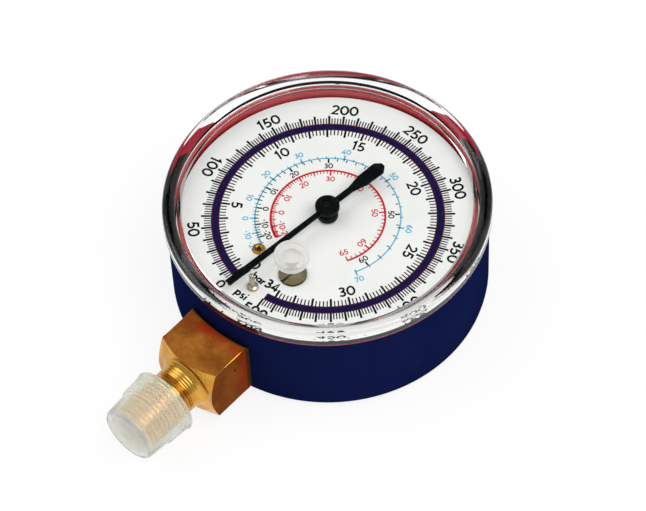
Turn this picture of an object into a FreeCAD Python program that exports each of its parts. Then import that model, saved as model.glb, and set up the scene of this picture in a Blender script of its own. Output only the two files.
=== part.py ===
import FreeCAD, Part
import math
import os

# Refrigerant pressure gauge with a Bourdon tube, lying on its back: dial up (+Z), stem along -Y.
# The origin is the centre of the case's flat back. All lengths are in millimetres, angles in degrees.

# Case, a pressed steel can
case_radius = 32.1
case_wall = 0.8
case_back = 1.0
case_corner = 2.0

# Red ring in the mouth of the case
ring_wall = 0.65
ring_flange = 0.5
ring_overhang = 0.4
ring_clearance = 0.05

# Black rubber seal, sunk in the ring's flange under the lens
seal_width = 1.5
seal_thickness = 0.25

# Dial
dial_thickness = 0.5
dial_edge_gap = 0.4
dial_centre_bore = 1.6

# Lens, a clear crown that plugs into the ring
lens_overhang = 0.6
lens_skirt_wall = 0.68
lens_skirt_taper = 0.9
lens_skirt_clearance = 0.12
lens_skirt_drop = 0.8
lens_window_gap = 4.6
lens_window_rise = 1.1
lens_window = 1.4
lens_bead_rise = 0.8
lens_bead_width = 2.6
lens_bead_round = 1.03
lens_inner_bevel = 0.15
lens_edge_break = 0.25

# Plug over the adjusting screw
plug_radius = 3.5
plug_height = 1.8
plug_shank_radius = 2.4
plug_clearance = 0.08
plug_dish_radius = 2.9
plug_dish_depth = 0.3
plug_reach = 0.15

# Brass socket: square block, neck, stem and the part inside the case
stem_height = 9.3
block_side = 14.2
block_reach = 10.4
saddle_edge_break = 0.7
corner_turning_angle = 30.0
case_seat_gap = 0.1
inner_side = 12.0
inner_clearance = 0.15
head_wall = 1.1
seat_inner_end = 8.0
seat_height = 8.2
collar_radius = 6.0
collar_length = 0.9
neck_radius = 4.9
neck_length = 5.5
groove_depth = 0.3
groove_width = 0.4
stem_radius = 5.145
stem_length = 10.0
stem_chamfer = 0.8
port_radius = 1.6

# Restrictor screw in the port
restrictor_length = 3.0
restrictor_orifice = 0.3
restrictor_slot = 0.4
restrictor_inset = 1.0
restrictor_clearance = 0.05

# Thread protector cap
cap_mouth_bead = 7.15
cap_mouth_radius = 6.95
cap_step_outer = 6.62
cap_step_inner = 6.35
cap_step_slope = 0.2
cap_end_radius = 5.95
cap_inner_radius = 5.78
cap_bead_length = 0.7
cap_bead_slope = 0.2
cap_mouth_gap = 0.1
cap_end_wall = 0.9
cap_end_gap = 0.1
cap_end_chamfer = 0.5
cap_dish_radius = 4.7
cap_dish_depth = 0.35
cap_boss_radius = 1.5
cap_boss_height = 0.2

# Bourdon tube, an oval tube bent to a C
tube_rim_gap = 9.3
tube_width = 6.5
tube_thickness = 2.4
tube_wall = 0.3
tube_root_angle = -92.0
tube_tip_angle = -12.0
tube_solder_gap = 0.1
tube_chamber_reach = 0.96

# Tip piece at the free end of the tube
tip_length_angle = 3.5
tip_margin = 0.25
tip_gap = 0.05
tip_arm_end = 1.3

# Movement: two plates on pillars
plate_thickness = 1.0
pillar_height = 5.7
pillar_radius = 1.3
plate_margin = 1.3
sector_ear = 3.0
pillar_head_gap = 1.8
screw_head_radius = 1.6
screw_head_height = 0.9
screw_slot_width = 0.4
screw_slot_depth = 0.4
plate_screw_radius = 0.8
plate_screw_reach = 3.0
plate_screw_slot_turn = 40.0
seat_screw_head_gap = 6.3
seat_screw_radius = 1.0
seat_screw_reach = 3.2
seat_screw_slot_turn = 70.0
small_clearance = 0.05

# Gear train: a toothed sector drives a pinion on the pointer's arbor
gear_module = 0.2
pinion_teeth = 12
sector_teeth = 140
sector_teeth_before = 14
sector_teeth_after = 2
tooth_addendum = 0.8
tooth_dedendum = 1.2
tooth_backlash = 0.035
pressure_angle = 20.0
flank_steps = 3
sector_axis_angle = -52.8
sector_level = 1.8
sector_thickness = 1.0
sector_rim = 1.9
sector_arm_radius = 0.8
sector_hub_radius = 2.5
sector_collar_height = 0.9
sector_arbor_radius = 1.1
sector_pivot_radius = 0.8
tail_length = 5.5
tail_slot_before = 1.0
tail_slot_after = 1.2
tail_end_radius = 1.4
pinion_arbor_radius = 0.85
pinion_pivot_radius = 0.6
pinion_face_margin = 0.4
arbor_seat_radius = 0.75
bush_radius = 1.8
bush_neck_radius = 1.5
bush_height = 1.5

# Link from the tube's tip to the sector's tail
link_length = 9.0
link_thickness = 0.7
link_gap = 0.1
link_end_radius = 1.3
link_pin_radius = 0.6
link_open_clearance = 0.2
link_open_offset = 0.09
link_head_radius = 1.2
link_head_height = 0.5

# Hairspring
spring_turns = 5
spring_start = 1.95
spring_pitch = 0.8
spring_strip = 0.15
spring_height = 0.6
spring_level = 4.0
collet_radius = 1.65
collet_margin = 0.15
stud_side = 1.0

# Dial fixings, at polar places about the pointer's axis
post_height = 2.8
post_radius = 1.4
post_spigot_radius = 0.8
post_bore_radius = 0.9
post_bore_depth = 1.8
post_places = [(15.7, -109.0), (15.0, 91.5)]
eyelet_radius = 1.36
eyelet_height = 0.35
eyelet_roll = 0.25
eyelet_shank_radius = 0.82
eyelet_hole_radius = 0.5

# Stop pin under six o'clock on the dial
stop_pin_place = (22.35, -89.7)
stop_pin_radius = 0.55
stop_pin_window_gap = 0.25
stop_base_radius = 1.2
stop_base_height = 0.75
stop_tail = 1.2

# Adjusting screw seen through the dial
adjuster_place = (15.6, -74.4)
adjuster_head_radius = 2.8
adjuster_head_height = 0.8
adjuster_crown = 0.15
adjuster_head_gap = 0.05
adjuster_shank_radius = 1.2
adjuster_slot_width = 0.55
adjuster_slot_depth = 0.45
adjuster_slot_angle = 85.0
adjuster_boss_radius = 2.1
adjuster_boss_height = 1.4
adjuster_reach = 0.4
adjuster_dial_clearance = 0.4

# Pointer and its hub
pointer_rest_angle = -95.8
pointer_full_scale_angle = -81.17
pointer_length = 26.4
pointer_window_gap = 1.2
pointer_thickness = 0.4
pointer_tip_width = 1.45
pointer_root_width = 1.05
tail_neck_width = 1.3
tail_flare_start = 6.3
tail_flare_end = 9.6
tail_flare_width = 2.75
tail_shoulder = 13.9
tail_shoulder_width = 2.95
tail_end = 15.1
tail_point_width = 0.9
hub_radius = 2.1
hub_neck_radius = 1.2
hub_cap_radius = 2.45
hub_cap_height = 0.75
hub_cap_bevel = 0.2
hub_dial_gap = 0.35

# Screws through the case's back into the socket
case_screw_inner_place = 13.0
case_screw_rim_gap = 0.7
case_screw_radius = 1.25
case_screw_head_radius = 2.4
case_screw_head_height = 1.5
case_screw_reach = 3.2
case_screw_slot_width = 0.8
case_screw_slot_depth = 0.8
dimple_radius = 3.3

# Flats on each small round stretch
round_flats = 4

tiny = 1e-6
coincident = 1e-3
Vec = FreeCAD.Vector
Z_AXIS = Vec(0, 0, 1)
Y_AXIS = Vec(0, 1, 0)
ORIGIN = Vec(0, 0, 0)

# Sizes worked out from the ones above
case_inner_radius = case_radius - case_wall
ring_outer_radius = case_inner_radius - ring_clearance
ring_inner_radius = ring_outer_radius - ring_wall
ring_flange_radius = case_radius + ring_overhang
lens_radius = case_radius + lens_overhang
seal_outer_radius = ring_inner_radius + seal_width
skirt_outer_radius = ring_inner_radius - lens_skirt_clearance
skirt_inner_radius = skirt_outer_radius - lens_skirt_wall
dial_radius = ring_inner_radius - dial_edge_gap
back_plate_top = seat_height + plate_thickness
front_plate_bottom = back_plate_top + pillar_height
front_plate_top = front_plate_bottom + plate_thickness
dial_bottom = front_plate_top + post_height
dial_top = dial_bottom + dial_thickness
window_bottom = dial_top + lens_window_gap
window_top = window_bottom + lens_window
lens_seat = window_bottom - lens_window_rise
seal_bottom = lens_seat - seal_thickness
case_rim_height = lens_seat - ring_flange
sector_bottom = back_plate_top + sector_level
sector_top = sector_bottom + sector_thickness
link_bottom = sector_top + link_gap
link_top = link_bottom + link_thickness
spring_bottom = back_plate_top + spring_level
pinion_pitch_radius = gear_module * pinion_teeth / 2
sector_pitch_radius = gear_module * sector_teeth / 2
gear_centres = pinion_pitch_radius + sector_pitch_radius
sector_axis = Vec(
    gear_centres * math.cos(math.radians(sector_axis_angle)),
    gear_centres * math.sin(math.radians(sector_axis_angle)),
    0,
)
mesh_angle = sector_axis_angle + 180
pointer_sweep = pointer_rest_angle - pointer_full_scale_angle + 360
sector_travel = pointer_sweep * pinion_teeth / sector_teeth
tail_angle = -sector_travel / 2
tail_pin = Vec(
    sector_axis.x + tail_length * math.cos(math.radians(tail_angle)),
    sector_axis.y + tail_length * math.sin(math.radians(tail_angle)),
    0,
)
tip_pin = Vec(tail_pin.x + link_open_offset, tail_pin.y + link_length, 0)
block_front = case_radius + block_reach
neck_end = block_front + neck_length
stem_end = neck_end + stem_length
tube_radius = case_inner_radius - tube_rim_gap
head_inner_end = tube_radius - tube_thickness / 2 - head_wall
pillar_places = [
    (-6.5, -12.0),
    (-1.5, -head_inner_end + pillar_head_gap + pillar_radius),
    (7.5, 9.0),
    (-6.5, 9.0),
]
seat_screw_places = [(-2.8, -head_inner_end + seat_screw_head_gap), (3.4, -10.6)]
case_screw_places = [
    (0.0, -case_screw_inner_place),
    (0.0, -case_inner_radius + case_screw_rim_gap + dimple_radius + case_wall),
]
inner_half = inner_side / 2
foot_bottom = stem_height - inner_half
pointer_top = window_bottom - pointer_window_gap
pointer_bottom = pointer_top - pointer_thickness
hub_bottom = dial_top + hub_dial_gap
hub_top = pointer_top + hub_cap_height


def polar(radius, angle):
    """Point in the dial's plane, at a radius and angle about the pointer's axis."""
    return Vec(radius * math.cos(math.radians(angle)), radius * math.sin(math.radians(angle)), 0)


def cylinder(radius, bottom, top, centre=ORIGIN):
    """Upright cylinder between two heights."""
    return Part.makeCylinder(radius, top - bottom, Vec(centre.x, centre.y, bottom))


def block(x0, x1, y0, y1, z0, z1):
    """Box between two corners."""
    return Part.makeBox(x1 - x0, y1 - y0, z1 - z0, Vec(x0, y0, z0))


def stem_cylinder(radius, y_inner, y_outer):
    """Cylinder on the stem's axis between two distances from the gauge's axis."""
    return Part.makeCylinder(radius, y_outer - y_inner, Vec(0, -y_inner, stem_height), Vec(0, -1, 0))


def upright(radius, height):
    """Place of a profile point that is turned about the gauge's axis."""
    return Vec(radius, 0, height)


def along_stem(radius, distance):
    """Place of a profile point that is turned about the stem's axis."""
    return Vec(radius, -distance, stem_height)


def flats(centre_u, centre_v, radius, start, end):
    """Points of a small round stretch of an outline, made of a few flats."""
    points = []
    for k in range(round_flats + 1):
        turn = math.radians(start + (end - start) * k / round_flats)
        points.append((centre_u + radius * math.cos(turn), centre_v + radius * math.sin(turn)))
    return points


def arc_step(centre_u, centre_v, radius, middle, end):
    """Arc step of an outline about a centre, by the angles of its middle and its end."""
    m = math.radians(middle)
    e = math.radians(end)
    return (
        centre_u + radius * math.cos(m),
        centre_v + radius * math.sin(m),
        centre_u + radius * math.cos(e),
        centre_v + radius * math.sin(e),
    )


def outline_face(points, place):
    """Face in a closed outline; a step of four numbers is an arc by its middle and end."""
    edges = []
    here = place(*points[0])
    for step in points[1:] + [points[0]]:
        there = place(*step[-2:])
        if len(step) > 2:
            edges.append(Part.Arc(here, place(*step[:2]), there).toShape())
        elif there.distanceToPoint(here) > tiny:
            edges.append(Part.LineSegment(here, there).toShape())
        here = there
    return Part.Face(Part.Wire(edges))


def turned(points):
    """Solid of revolution about the gauge's axis."""
    return outline_face(points, upright).revolve(ORIGIN, Z_AXIS, 360)


def turned_on_stem(points):
    """Solid of revolution about the stem's axis."""
    return outline_face(points, along_stem).revolve(Vec(0, 0, stem_height), Y_AXIS, 360)


def hull_plate(discs, bottom, top):
    """Flat plate bounded by the outer tangents of discs (x, y, r), listed counter-clockwise."""
    count = len(discs)
    normals = []
    for i in range(count):
        x0, y0, r0 = discs[i]
        x1, y1, r1 = discs[(i + 1) % count]
        run = math.hypot(x1 - x0, y1 - y0)
        lean = (r0 - r1) / run
        side = math.sqrt(1 - lean * lean)
        ux = (x1 - x0) / run
        uy = (y1 - y0) / run
        normals.append(math.atan2(lean * uy - side * ux, lean * ux + side * uy))
    steps = []
    for i in range(count):
        x, y, r = discs[i]
        first = math.degrees(normals[i - 1])
        last = math.degrees(normals[i])
        while last < first:
            last += 360
        steps.append(arc_step(x, y, r, first, first)[:2])
        steps.append(arc_step(x, y, r, (first + last) / 2, last))
    face = outline_face(steps, lambda u, v: Vec(u, v, bottom))
    return face.extrude(Vec(0, 0, top - bottom))


def slotted_screw(centre, head_radius, head_bottom, head_height, shank_radius, shank_end, slot_angle=0.0):
    """Cheese head screw pointing down, with a slot across its head."""
    head_top = head_bottom + head_height
    head = cylinder(head_radius, head_bottom, head_top, centre)
    shank = cylinder(shank_radius, shank_end, head_bottom, centre)
    half = screw_slot_width / 2
    slot = block(-head_radius, head_radius, -half, half, head_top - screw_slot_depth, head_top)
    slot.rotate(ORIGIN, Z_AXIS, slot_angle)
    slot.translate(Vec(centre.x, centre.y, 0))
    return head.fuse(shank).cut(slot)


def save(shape, name):
    """Write one sub-part and say how many solids it holds."""
    shape.exportStep("parts/" + name + ".step")
    print(name, len(shape.Solids), "solid(s),", round(shape.Volume, 3), "mm3")


def make_case():
    """Pressed can with a round back corner, two dimples for screws and a square hole for the socket."""
    inner_corner = case_corner - case_wall
    can = turned([
        (0, 0),
        *flats(case_radius - case_corner, case_corner, case_corner, -90, 0),
        (case_radius, case_rim_height),
        (case_inner_radius, case_rim_height),
        (case_inner_radius, case_back + inner_corner),
        (case_inner_radius - inner_corner, case_back),
        (0, case_back),
    ])
    hole_half = inner_half + inner_clearance
    wall_hole = block(
        -hole_half, hole_half, -case_radius - case_wall, -case_inner_radius + 2 * case_wall,
        stem_height - hole_half, stem_height + hole_half,
    )
    can = can.cut(wall_hole)
    for x, y in case_screw_places:
        centre = Vec(x, y, 0)
        can = can.fuse(cylinder(dimple_radius + case_wall, 0, foot_bottom, centre))
        can = can.cut(cylinder(dimple_radius, 0, foot_bottom - case_back, centre))
        can = can.cut(cylinder(case_screw_radius + small_clearance, 0, foot_bottom, centre))
    return can.removeSplitter()


def make_case_screws():
    """Two screws that hold the socket, with their heads sunk in the dimples."""
    screws = []
    for x, y in case_screw_places:
        centre = Vec(x, y, 0)
        seat = foot_bottom - case_back
        head = cylinder(case_screw_head_radius, seat - case_screw_head_height, seat, centre)
        shank = cylinder(case_screw_radius, seat, foot_bottom + case_screw_reach, centre)
        half = case_screw_slot_width / 2
        outside = seat - case_screw_head_height
        slot = block(
            x - case_screw_head_radius, x + case_screw_head_radius, y - half, y + half,
            outside, outside + case_screw_slot_depth,
        )
        screws.append(head.fuse(shank).cut(slot))
    return Part.makeCompound(screws)


def make_mouth_ring():
    """Red ring of L section: a flange on the case's rim, stepped for the seal, and a band down to the dial."""
    return turned([
        (ring_inner_radius, dial_bottom),
        (ring_outer_radius, dial_bottom),
        (ring_outer_radius, case_rim_height),
        (ring_flange_radius, case_rim_height),
        (ring_flange_radius, lens_seat),
        (seal_outer_radius, lens_seat),
        (seal_outer_radius, seal_bottom),
        (ring_inner_radius, seal_bottom),
    ])


def make_lens_seal():
    """Flat rubber seal between the ring's step and the lens."""
    return cylinder(seal_outer_radius, seal_bottom, lens_seat).cut(
        cylinder(ring_inner_radius, seal_bottom, lens_seat))


def make_lens():
    """Clear crown: flat window, raised round bead, flange on the ring and a short skirt that thins downward."""
    skirt_bottom = lens_seat - lens_skirt_drop
    skirt_top_radius = skirt_inner_radius - lens_skirt_taper
    bevel_shift = lens_inner_bevel * lens_skirt_taper / (window_bottom - skirt_bottom)
    bead_top = window_top + lens_bead_rise
    half_bead = lens_bead_width / 2
    bead_peak = lens_radius - half_bead
    inner_round = (half_bead ** 2 + lens_bead_rise ** 2) / (2 * lens_bead_rise)
    inner_turn = math.degrees(math.asin(half_bead / inner_round))
    crown = turned([
        (0, window_bottom),
        (skirt_top_radius - lens_inner_bevel, window_bottom),
        (skirt_top_radius + bevel_shift, window_bottom - lens_inner_bevel),
        (skirt_inner_radius, skirt_bottom),
        (skirt_outer_radius, skirt_bottom),
        (skirt_outer_radius, lens_seat),
        (lens_radius - lens_edge_break, lens_seat),
        (lens_radius, lens_seat + lens_edge_break),
        *flats(lens_radius - lens_bead_round, bead_top - lens_bead_round, lens_bead_round, 0, 90),
        *flats(bead_peak, bead_top - inner_round, inner_round, 90, 90 + inner_turn),
        (0, window_top),
    ])
    centre = polar(*adjuster_place)
    return crown.cut(cylinder(plug_shank_radius + plug_clearance, window_bottom, window_top, centre))


def make_lens_plug():
    """Milky plug in the window over the adjusting screw, with a dished head."""
    centre = polar(*adjuster_place)
    top = window_top + plug_height
    head = cylinder(plug_radius, window_top, top, centre)
    top_edges = [edge for edge in head.Edges if edge.BoundBox.ZMin > top - tiny]
    head = head.makeChamfer(lens_edge_break, top_edges)
    shank = cylinder(plug_shank_radius, window_bottom - plug_reach, window_top, centre)
    dish = cylinder(plug_dish_radius, top - plug_dish_depth, top, centre)
    return head.fuse(shank).cut(dish).removeSplitter()


def make_socket():
    """Brass socket: saddle-ended square block, turned neck, stem, and a stepped part in the case."""
    half = block_side / 2
    outer = block(-half, half, -block_front, 0, stem_height - half, stem_height + half)
    outer = outer.cut(cylinder(case_radius + case_seat_gap, 0, case_rim_height))
    corner_radius = half * math.sqrt(2)
    turning = (corner_radius - half) * math.tan(math.radians(corner_turning_angle))
    cone = turned_on_stem([
        (0, block_front),
        (half, block_front),
        (corner_radius, block_front - turning),
        (corner_radius, 0),
        (0, 0),
    ])
    outer = outer.common(cone)
    saddle = case_radius + case_seat_gap
    for level, inward in ((stem_height + half, -saddle_edge_break), (stem_height - half, saddle_edge_break)):
        bevel = turned([(saddle, level), (saddle + saddle_edge_break, level), (saddle, level + inward)])
        outer = outer.cut(bevel)
    groove = block_front + neck_length / 2
    stem = turned_on_stem([
        (0, block_front - collar_length),
        (collar_radius, block_front - collar_length),
        (collar_radius, block_front),
        (neck_radius, block_front + collar_length),
        (neck_radius, groove - groove_width / 2),
        (neck_radius - groove_depth, groove),
        (neck_radius, groove + groove_width / 2),
        (neck_radius, neck_end),
        (stem_radius, neck_end),
        (stem_radius, stem_end - stem_chamfer),
        (stem_radius - stem_chamfer, stem_end),
        (0, stem_end),
    ])
    low = stem_height - inner_half
    head = block(
        -inner_half, inner_half, -case_radius - case_wall, -head_inner_end, low, stem_height + inner_half,
    )
    seat = block(-inner_half, inner_half, -head_inner_end, -seat_inner_end, low, seat_height)
    body = outer.fuse([stem, head, seat]).removeSplitter()
    slot_wall = tube_thickness / 2 + tube_solder_gap
    slot_half = tube_width / 2 + tube_solder_gap
    slot_ring = cylinder(tube_radius + slot_wall, stem_height - slot_half, stem_height + slot_half).cut(
        cylinder(tube_radius - slot_wall, stem_height - slot_half, stem_height + slot_half))
    slot_box = block(-inner_side, tube_chamber_reach, -case_radius, 0, low, stem_height + inner_half)
    body = body.cut(slot_ring.common(slot_box))
    body = body.cut(stem_cylinder(port_radius, tube_radius, stem_end))
    for x, y in case_screw_places:
        hole_top = foot_bottom + case_screw_reach + small_clearance
        body = body.cut(cylinder(case_screw_radius + small_clearance, foot_bottom, hole_top, Vec(x, y, 0)))
    for x, y in seat_screw_places:
        hole_end = seat_height - seat_screw_reach - small_clearance
        body = body.cut(cylinder(seat_screw_radius + small_clearance, hole_end, seat_height, Vec(x, y, 0)))
    return body


def make_restrictor():
    """Slotted brass screw with a fine hole, which damps the pressure in the port."""
    outer_end = stem_end - restrictor_inset
    radius = port_radius - restrictor_clearance
    plug = stem_cylinder(radius, outer_end - restrictor_length, outer_end)
    plug = plug.cut(stem_cylinder(restrictor_orifice, outer_end - restrictor_length, outer_end))
    half = restrictor_slot / 2
    slot = block(
        -radius, radius, -outer_end, -outer_end + restrictor_slot, stem_height - half, stem_height + half,
    )
    return plug.cut(slot)


def make_thread_cap():
    """Milky push-on cap over the stem's thread: beaded mouth, stepped wall and a dished end."""
    mouth = neck_end - cap_mouth_gap
    inner_end = stem_end + cap_end_gap
    end = inner_end + cap_end_wall
    step = (mouth + end) / 2
    shell = turned_on_stem([
        (cap_inner_radius, mouth),
        (cap_mouth_radius, mouth),
        (cap_mouth_bead, mouth + cap_bead_slope),
        (cap_mouth_bead, mouth + cap_bead_length - cap_bead_slope),
        (cap_mouth_radius, mouth + cap_bead_length),
        (cap_step_outer, step),
        (cap_step_inner, step + cap_step_slope),
        (cap_end_radius, end - cap_end_chamfer),
        (cap_end_radius - cap_end_chamfer, end),
        (cap_dish_radius, end),
        (cap_dish_radius, end - cap_dish_depth),
        (cap_boss_radius, end - cap_dish_depth),
        (cap_boss_radius, end - cap_dish_depth + cap_boss_height),
        (0, end - cap_dish_depth + cap_boss_height),
        (0, inner_end),
        (cap_inner_radius, inner_end),
    ])
    return shell


def tube_section(thickness, width):
    """Flattened oval section of the tube, with a few flats round each narrow end."""
    round_end = thickness / 2
    straight = width / 2 - round_end
    upper = flats(tube_radius, stem_height + straight, round_end, 0, 180)
    lower = flats(tube_radius, stem_height - straight, round_end, 180, 360)
    return outline_face(upper + lower, upright)


def make_bourdon_tube():
    """Hollow oval tube, bent clockwise from its root in the socket to its free tip."""
    section = tube_section(tube_thickness, tube_width).cut(
        tube_section(tube_thickness - 2 * tube_wall, tube_width - 2 * tube_wall))
    section.rotate(ORIGIN, Z_AXIS, tube_root_angle)
    sweep = tube_root_angle - tube_tip_angle + 360
    return section.revolve(ORIGIN, Vec(0, 0, -1), sweep).Solids[0]


def make_tube_tip():
    """Closing piece at the tube's free end, with an arm that reaches in to the link."""
    thick = tube_thickness / 2 + tip_margin
    tall = tube_width / 2 + tip_margin
    end = outline_face([
        (tube_radius - thick, stem_height - tall),
        (tube_radius + thick, stem_height - tall),
        (tube_radius + thick, stem_height + tall),
        (tube_radius - thick, stem_height + tall),
    ], upright)
    start_angle = tube_tip_angle - math.degrees(tip_gap / tube_radius)
    end.rotate(ORIGIN, Z_AXIS, start_angle)
    end = end.revolve(ORIGIN, Vec(0, 0, -1), tip_length_angle)
    root = polar(tube_radius - thick + tip_arm_end, start_angle - tip_length_angle / 2)
    arm = hull_plate(
        [(tip_pin.x, tip_pin.y, tip_arm_end), (root.x, root.y, tip_arm_end)], sector_bottom, sector_top)
    arm = arm.common(cylinder(tube_radius - tube_thickness / 2 - tip_gap, sector_bottom, sector_top))
    piece = end.fuse(arm)
    hole = cylinder(link_pin_radius + small_clearance, sector_bottom, sector_top, tip_pin)
    return piece.cut(hole).removeSplitter()


def make_link_screw(centre):
    """Shoulder screw that carries one end of the link."""
    head_bottom = link_top + link_gap
    return slotted_screw(
        centre, link_head_radius, head_bottom, link_head_height, link_pin_radius, sector_bottom)


def make_link():
    """Flat link, close on the sector's pin and open on the tip's pin."""
    bar = hull_plate(
        [(tail_pin.x, tail_pin.y, link_end_radius), (tail_pin.x, tail_pin.y + link_length, link_end_radius)],
        link_bottom, link_top)
    bar = bar.cut(cylinder(link_pin_radius + small_clearance, link_bottom, link_top, tail_pin))
    open_hole = Vec(tail_pin.x, tail_pin.y + link_length, 0)
    return bar.cut(cylinder(link_pin_radius + link_open_clearance, link_bottom, link_top, open_hole))


def plate_discs(extra):
    """Discs that bound a movement plate: round each pillar, the sector's pivot and what else it carries."""
    around = pillar_radius + plate_margin
    discs = [(x, y, around) for x, y in pillar_places]
    discs.append((sector_axis.x, sector_axis.y, sector_ear))
    return sorted(discs + extra, key=lambda disc: math.atan2(disc[1], disc[0]))


def drill_pivots(plate, bottom, top):
    """Holes for the sector's pivot in a movement plate."""
    return plate.cut(cylinder(sector_pivot_radius + small_clearance, bottom, top, sector_axis))


def make_back_plate():
    """Rear plate of the movement, screwed to the socket's seat."""
    plate = hull_plate(plate_discs([]), seat_height, back_plate_top)
    plate = drill_pivots(plate, seat_height, back_plate_top)
    plate = plate.cut(cylinder(pinion_pivot_radius + small_clearance, seat_height, back_plate_top))
    for x, y in seat_screw_places:
        hole = cylinder(seat_screw_radius + small_clearance, seat_height, back_plate_top, Vec(x, y, 0))
        plate = plate.cut(hole)
    return plate


def make_front_plate():
    """Front plate of the movement, with a tongue for the upper dial post and a boss for the adjuster."""
    upper_post = polar(*post_places[1])
    tongue = (upper_post.x, upper_post.y, post_radius + plate_margin)
    plate = hull_plate(plate_discs([tongue]), front_plate_bottom, front_plate_top)
    adjuster = polar(*adjuster_place)
    boss_bottom = front_plate_bottom - adjuster_boss_height
    plate = plate.fuse(cylinder(adjuster_boss_radius, boss_bottom, front_plate_bottom, adjuster))
    tapped_hole = cylinder(adjuster_shank_radius + small_clearance, boss_bottom, front_plate_top, adjuster)
    plate = plate.cut(tapped_hole)
    plate = drill_pivots(plate, front_plate_bottom, front_plate_top)
    plate = plate.cut(cylinder(bush_radius, front_plate_bottom, front_plate_top))
    for x, y in pillar_places:
        screw_hole = plate_screw_radius + small_clearance
        plate = plate.cut(cylinder(screw_hole, front_plate_bottom, front_plate_top, Vec(x, y, 0)))
    for place in post_places:
        spigot_hole = post_spigot_radius + small_clearance
        plate = plate.cut(cylinder(spigot_hole, front_plate_bottom, front_plate_top, polar(*place)))
    return plate.removeSplitter()


def make_pillars():
    """Bored pillars between the two plates."""
    pillars = []
    for x, y in pillar_places:
        centre = Vec(x, y, 0)
        pillar = cylinder(pillar_radius, back_plate_top, front_plate_bottom, centre)
        bore_end = front_plate_bottom - plate_screw_reach - small_clearance
        bore = cylinder(plate_screw_radius + small_clearance, bore_end, front_plate_bottom, centre)
        pillars.append(pillar.cut(bore))
    return Part.makeCompound(pillars)


def make_plate_screws():
    """Screws that hold the front plate on its pillars."""
    screws = []
    for i, (x, y) in enumerate(pillar_places):
        screws.append(slotted_screw(
            Vec(x, y, 0), screw_head_radius, front_plate_top, screw_head_height,
            plate_screw_radius, front_plate_bottom - plate_screw_reach, plate_screw_slot_turn * i))
    return Part.makeCompound(screws)


def make_seat_screws():
    """Screws that hold the back plate on the socket's seat."""
    screws = []
    for i, (x, y) in enumerate(seat_screw_places):
        screws.append(slotted_screw(
            Vec(x, y, 0), screw_head_radius, back_plate_top, screw_head_height,
            seat_screw_radius, seat_height - seat_screw_reach, seat_screw_slot_turn * i))
    return Part.makeCompound(screws)


def tooth_outline(teeth, centre_angle):
    """Points of one involute tooth, from its right root to its left root."""
    pitch = gear_module * teeth / 2
    base = pitch * math.cos(math.radians(pressure_angle))
    tip = pitch + tooth_addendum * gear_module
    root = pitch - tooth_dedendum * gear_module
    thickness = math.pi * gear_module / 2 - tooth_backlash
    pressure = math.radians(pressure_angle)
    at_pitch = thickness / (2 * pitch) + math.tan(pressure) - pressure
    start = max(base, root)
    radii = [root] + [start + (tip - start) * k / flank_steps for k in range(flank_steps + 1)]
    right = []
    for radius in radii:
        slope = math.acos(min(1.0, base / max(radius, base)))
        half = at_pitch - (math.tan(slope) - slope)
        right.append((radius, half))
    centre = math.radians(centre_angle)
    points = [Vec(r * math.cos(centre - h), r * math.sin(centre - h), 0) for r, h in right]
    points += [Vec(r * math.cos(centre + h), r * math.sin(centre + h), 0) for r, h in reversed(right)]
    return points


def drop_repeats(points):
    """Point list without neighbours that coincide."""
    kept = [points[0]]
    for point in points[1:]:
        if point.distanceToPoint(kept[-1]) > coincident:
            kept.append(point)
    return kept


def make_sector_gear():
    """Toothed sector: rim with teeth, two arms, hub with a collar, and a slotted tail."""
    pitch_angle = 360 / sector_teeth
    points = []
    for k in range(-sector_teeth_before, sector_teeth_after + 1):
        points += tooth_outline(sector_teeth, mesh_angle + k * pitch_angle)
    points = drop_repeats(points)
    inner = sector_pitch_radius - sector_rim
    first = mesh_angle - (sector_teeth_before + 0.5) * pitch_angle
    last = mesh_angle + (sector_teeth_after + 0.5) * pitch_angle
    edges = []
    low = polar(inner, first)
    high = polar(inner, last)
    chain = [low] + points + [high]
    for here, there in zip(chain, chain[1:]):
        edges.append(Part.LineSegment(here, there).toShape())
    edges.append(Part.Arc(high, polar(inner, (first + last) / 2), low).toShape())
    rim = Part.Face(Part.Wire(edges)).extrude(Vec(0, 0, sector_thickness))
    rim.translate(Vec(sector_axis.x, sector_axis.y, sector_bottom))
    shape = rim
    middle = sector_pitch_radius - sector_rim
    for angle in (first + pitch_angle, last - pitch_angle):
        end = sector_axis + polar(middle, angle)
        shape = shape.fuse(hull_plate(
            [(sector_axis.x, sector_axis.y, sector_hub_radius), (end.x, end.y, sector_arm_radius)],
            sector_bottom, sector_top))
    tail = sector_axis + polar(tail_length + tail_slot_after, tail_angle)
    shape = shape.fuse(hull_plate(
        [(sector_axis.x, sector_axis.y, sector_hub_radius), (tail.x, tail.y, tail_end_radius)],
        sector_bottom, sector_top))
    collar = cylinder(sector_hub_radius, sector_top, sector_top + sector_collar_height, sector_axis)
    shape = shape.fuse(collar)
    shape = shape.cut(cylinder(
        sector_arbor_radius, sector_bottom, sector_top + sector_collar_height, sector_axis))
    slot_in = sector_axis + polar(tail_length - tail_slot_before, tail_angle)
    slot = hull_plate(
        [(slot_in.x, slot_in.y, link_pin_radius + small_clearance),
         (tail.x, tail.y, link_pin_radius + small_clearance)],
        sector_bottom, sector_top)
    return shape.cut(slot).removeSplitter()


def make_sector_arbor():
    """Steel arbor of the sector, with a pivot at each end."""
    clear = small_clearance
    body = cylinder(sector_arbor_radius, back_plate_top + clear, front_plate_bottom - clear, sector_axis)
    pivots = cylinder(sector_pivot_radius, seat_height + clear, front_plate_top - clear, sector_axis)
    return body.fuse(pivots)


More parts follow.
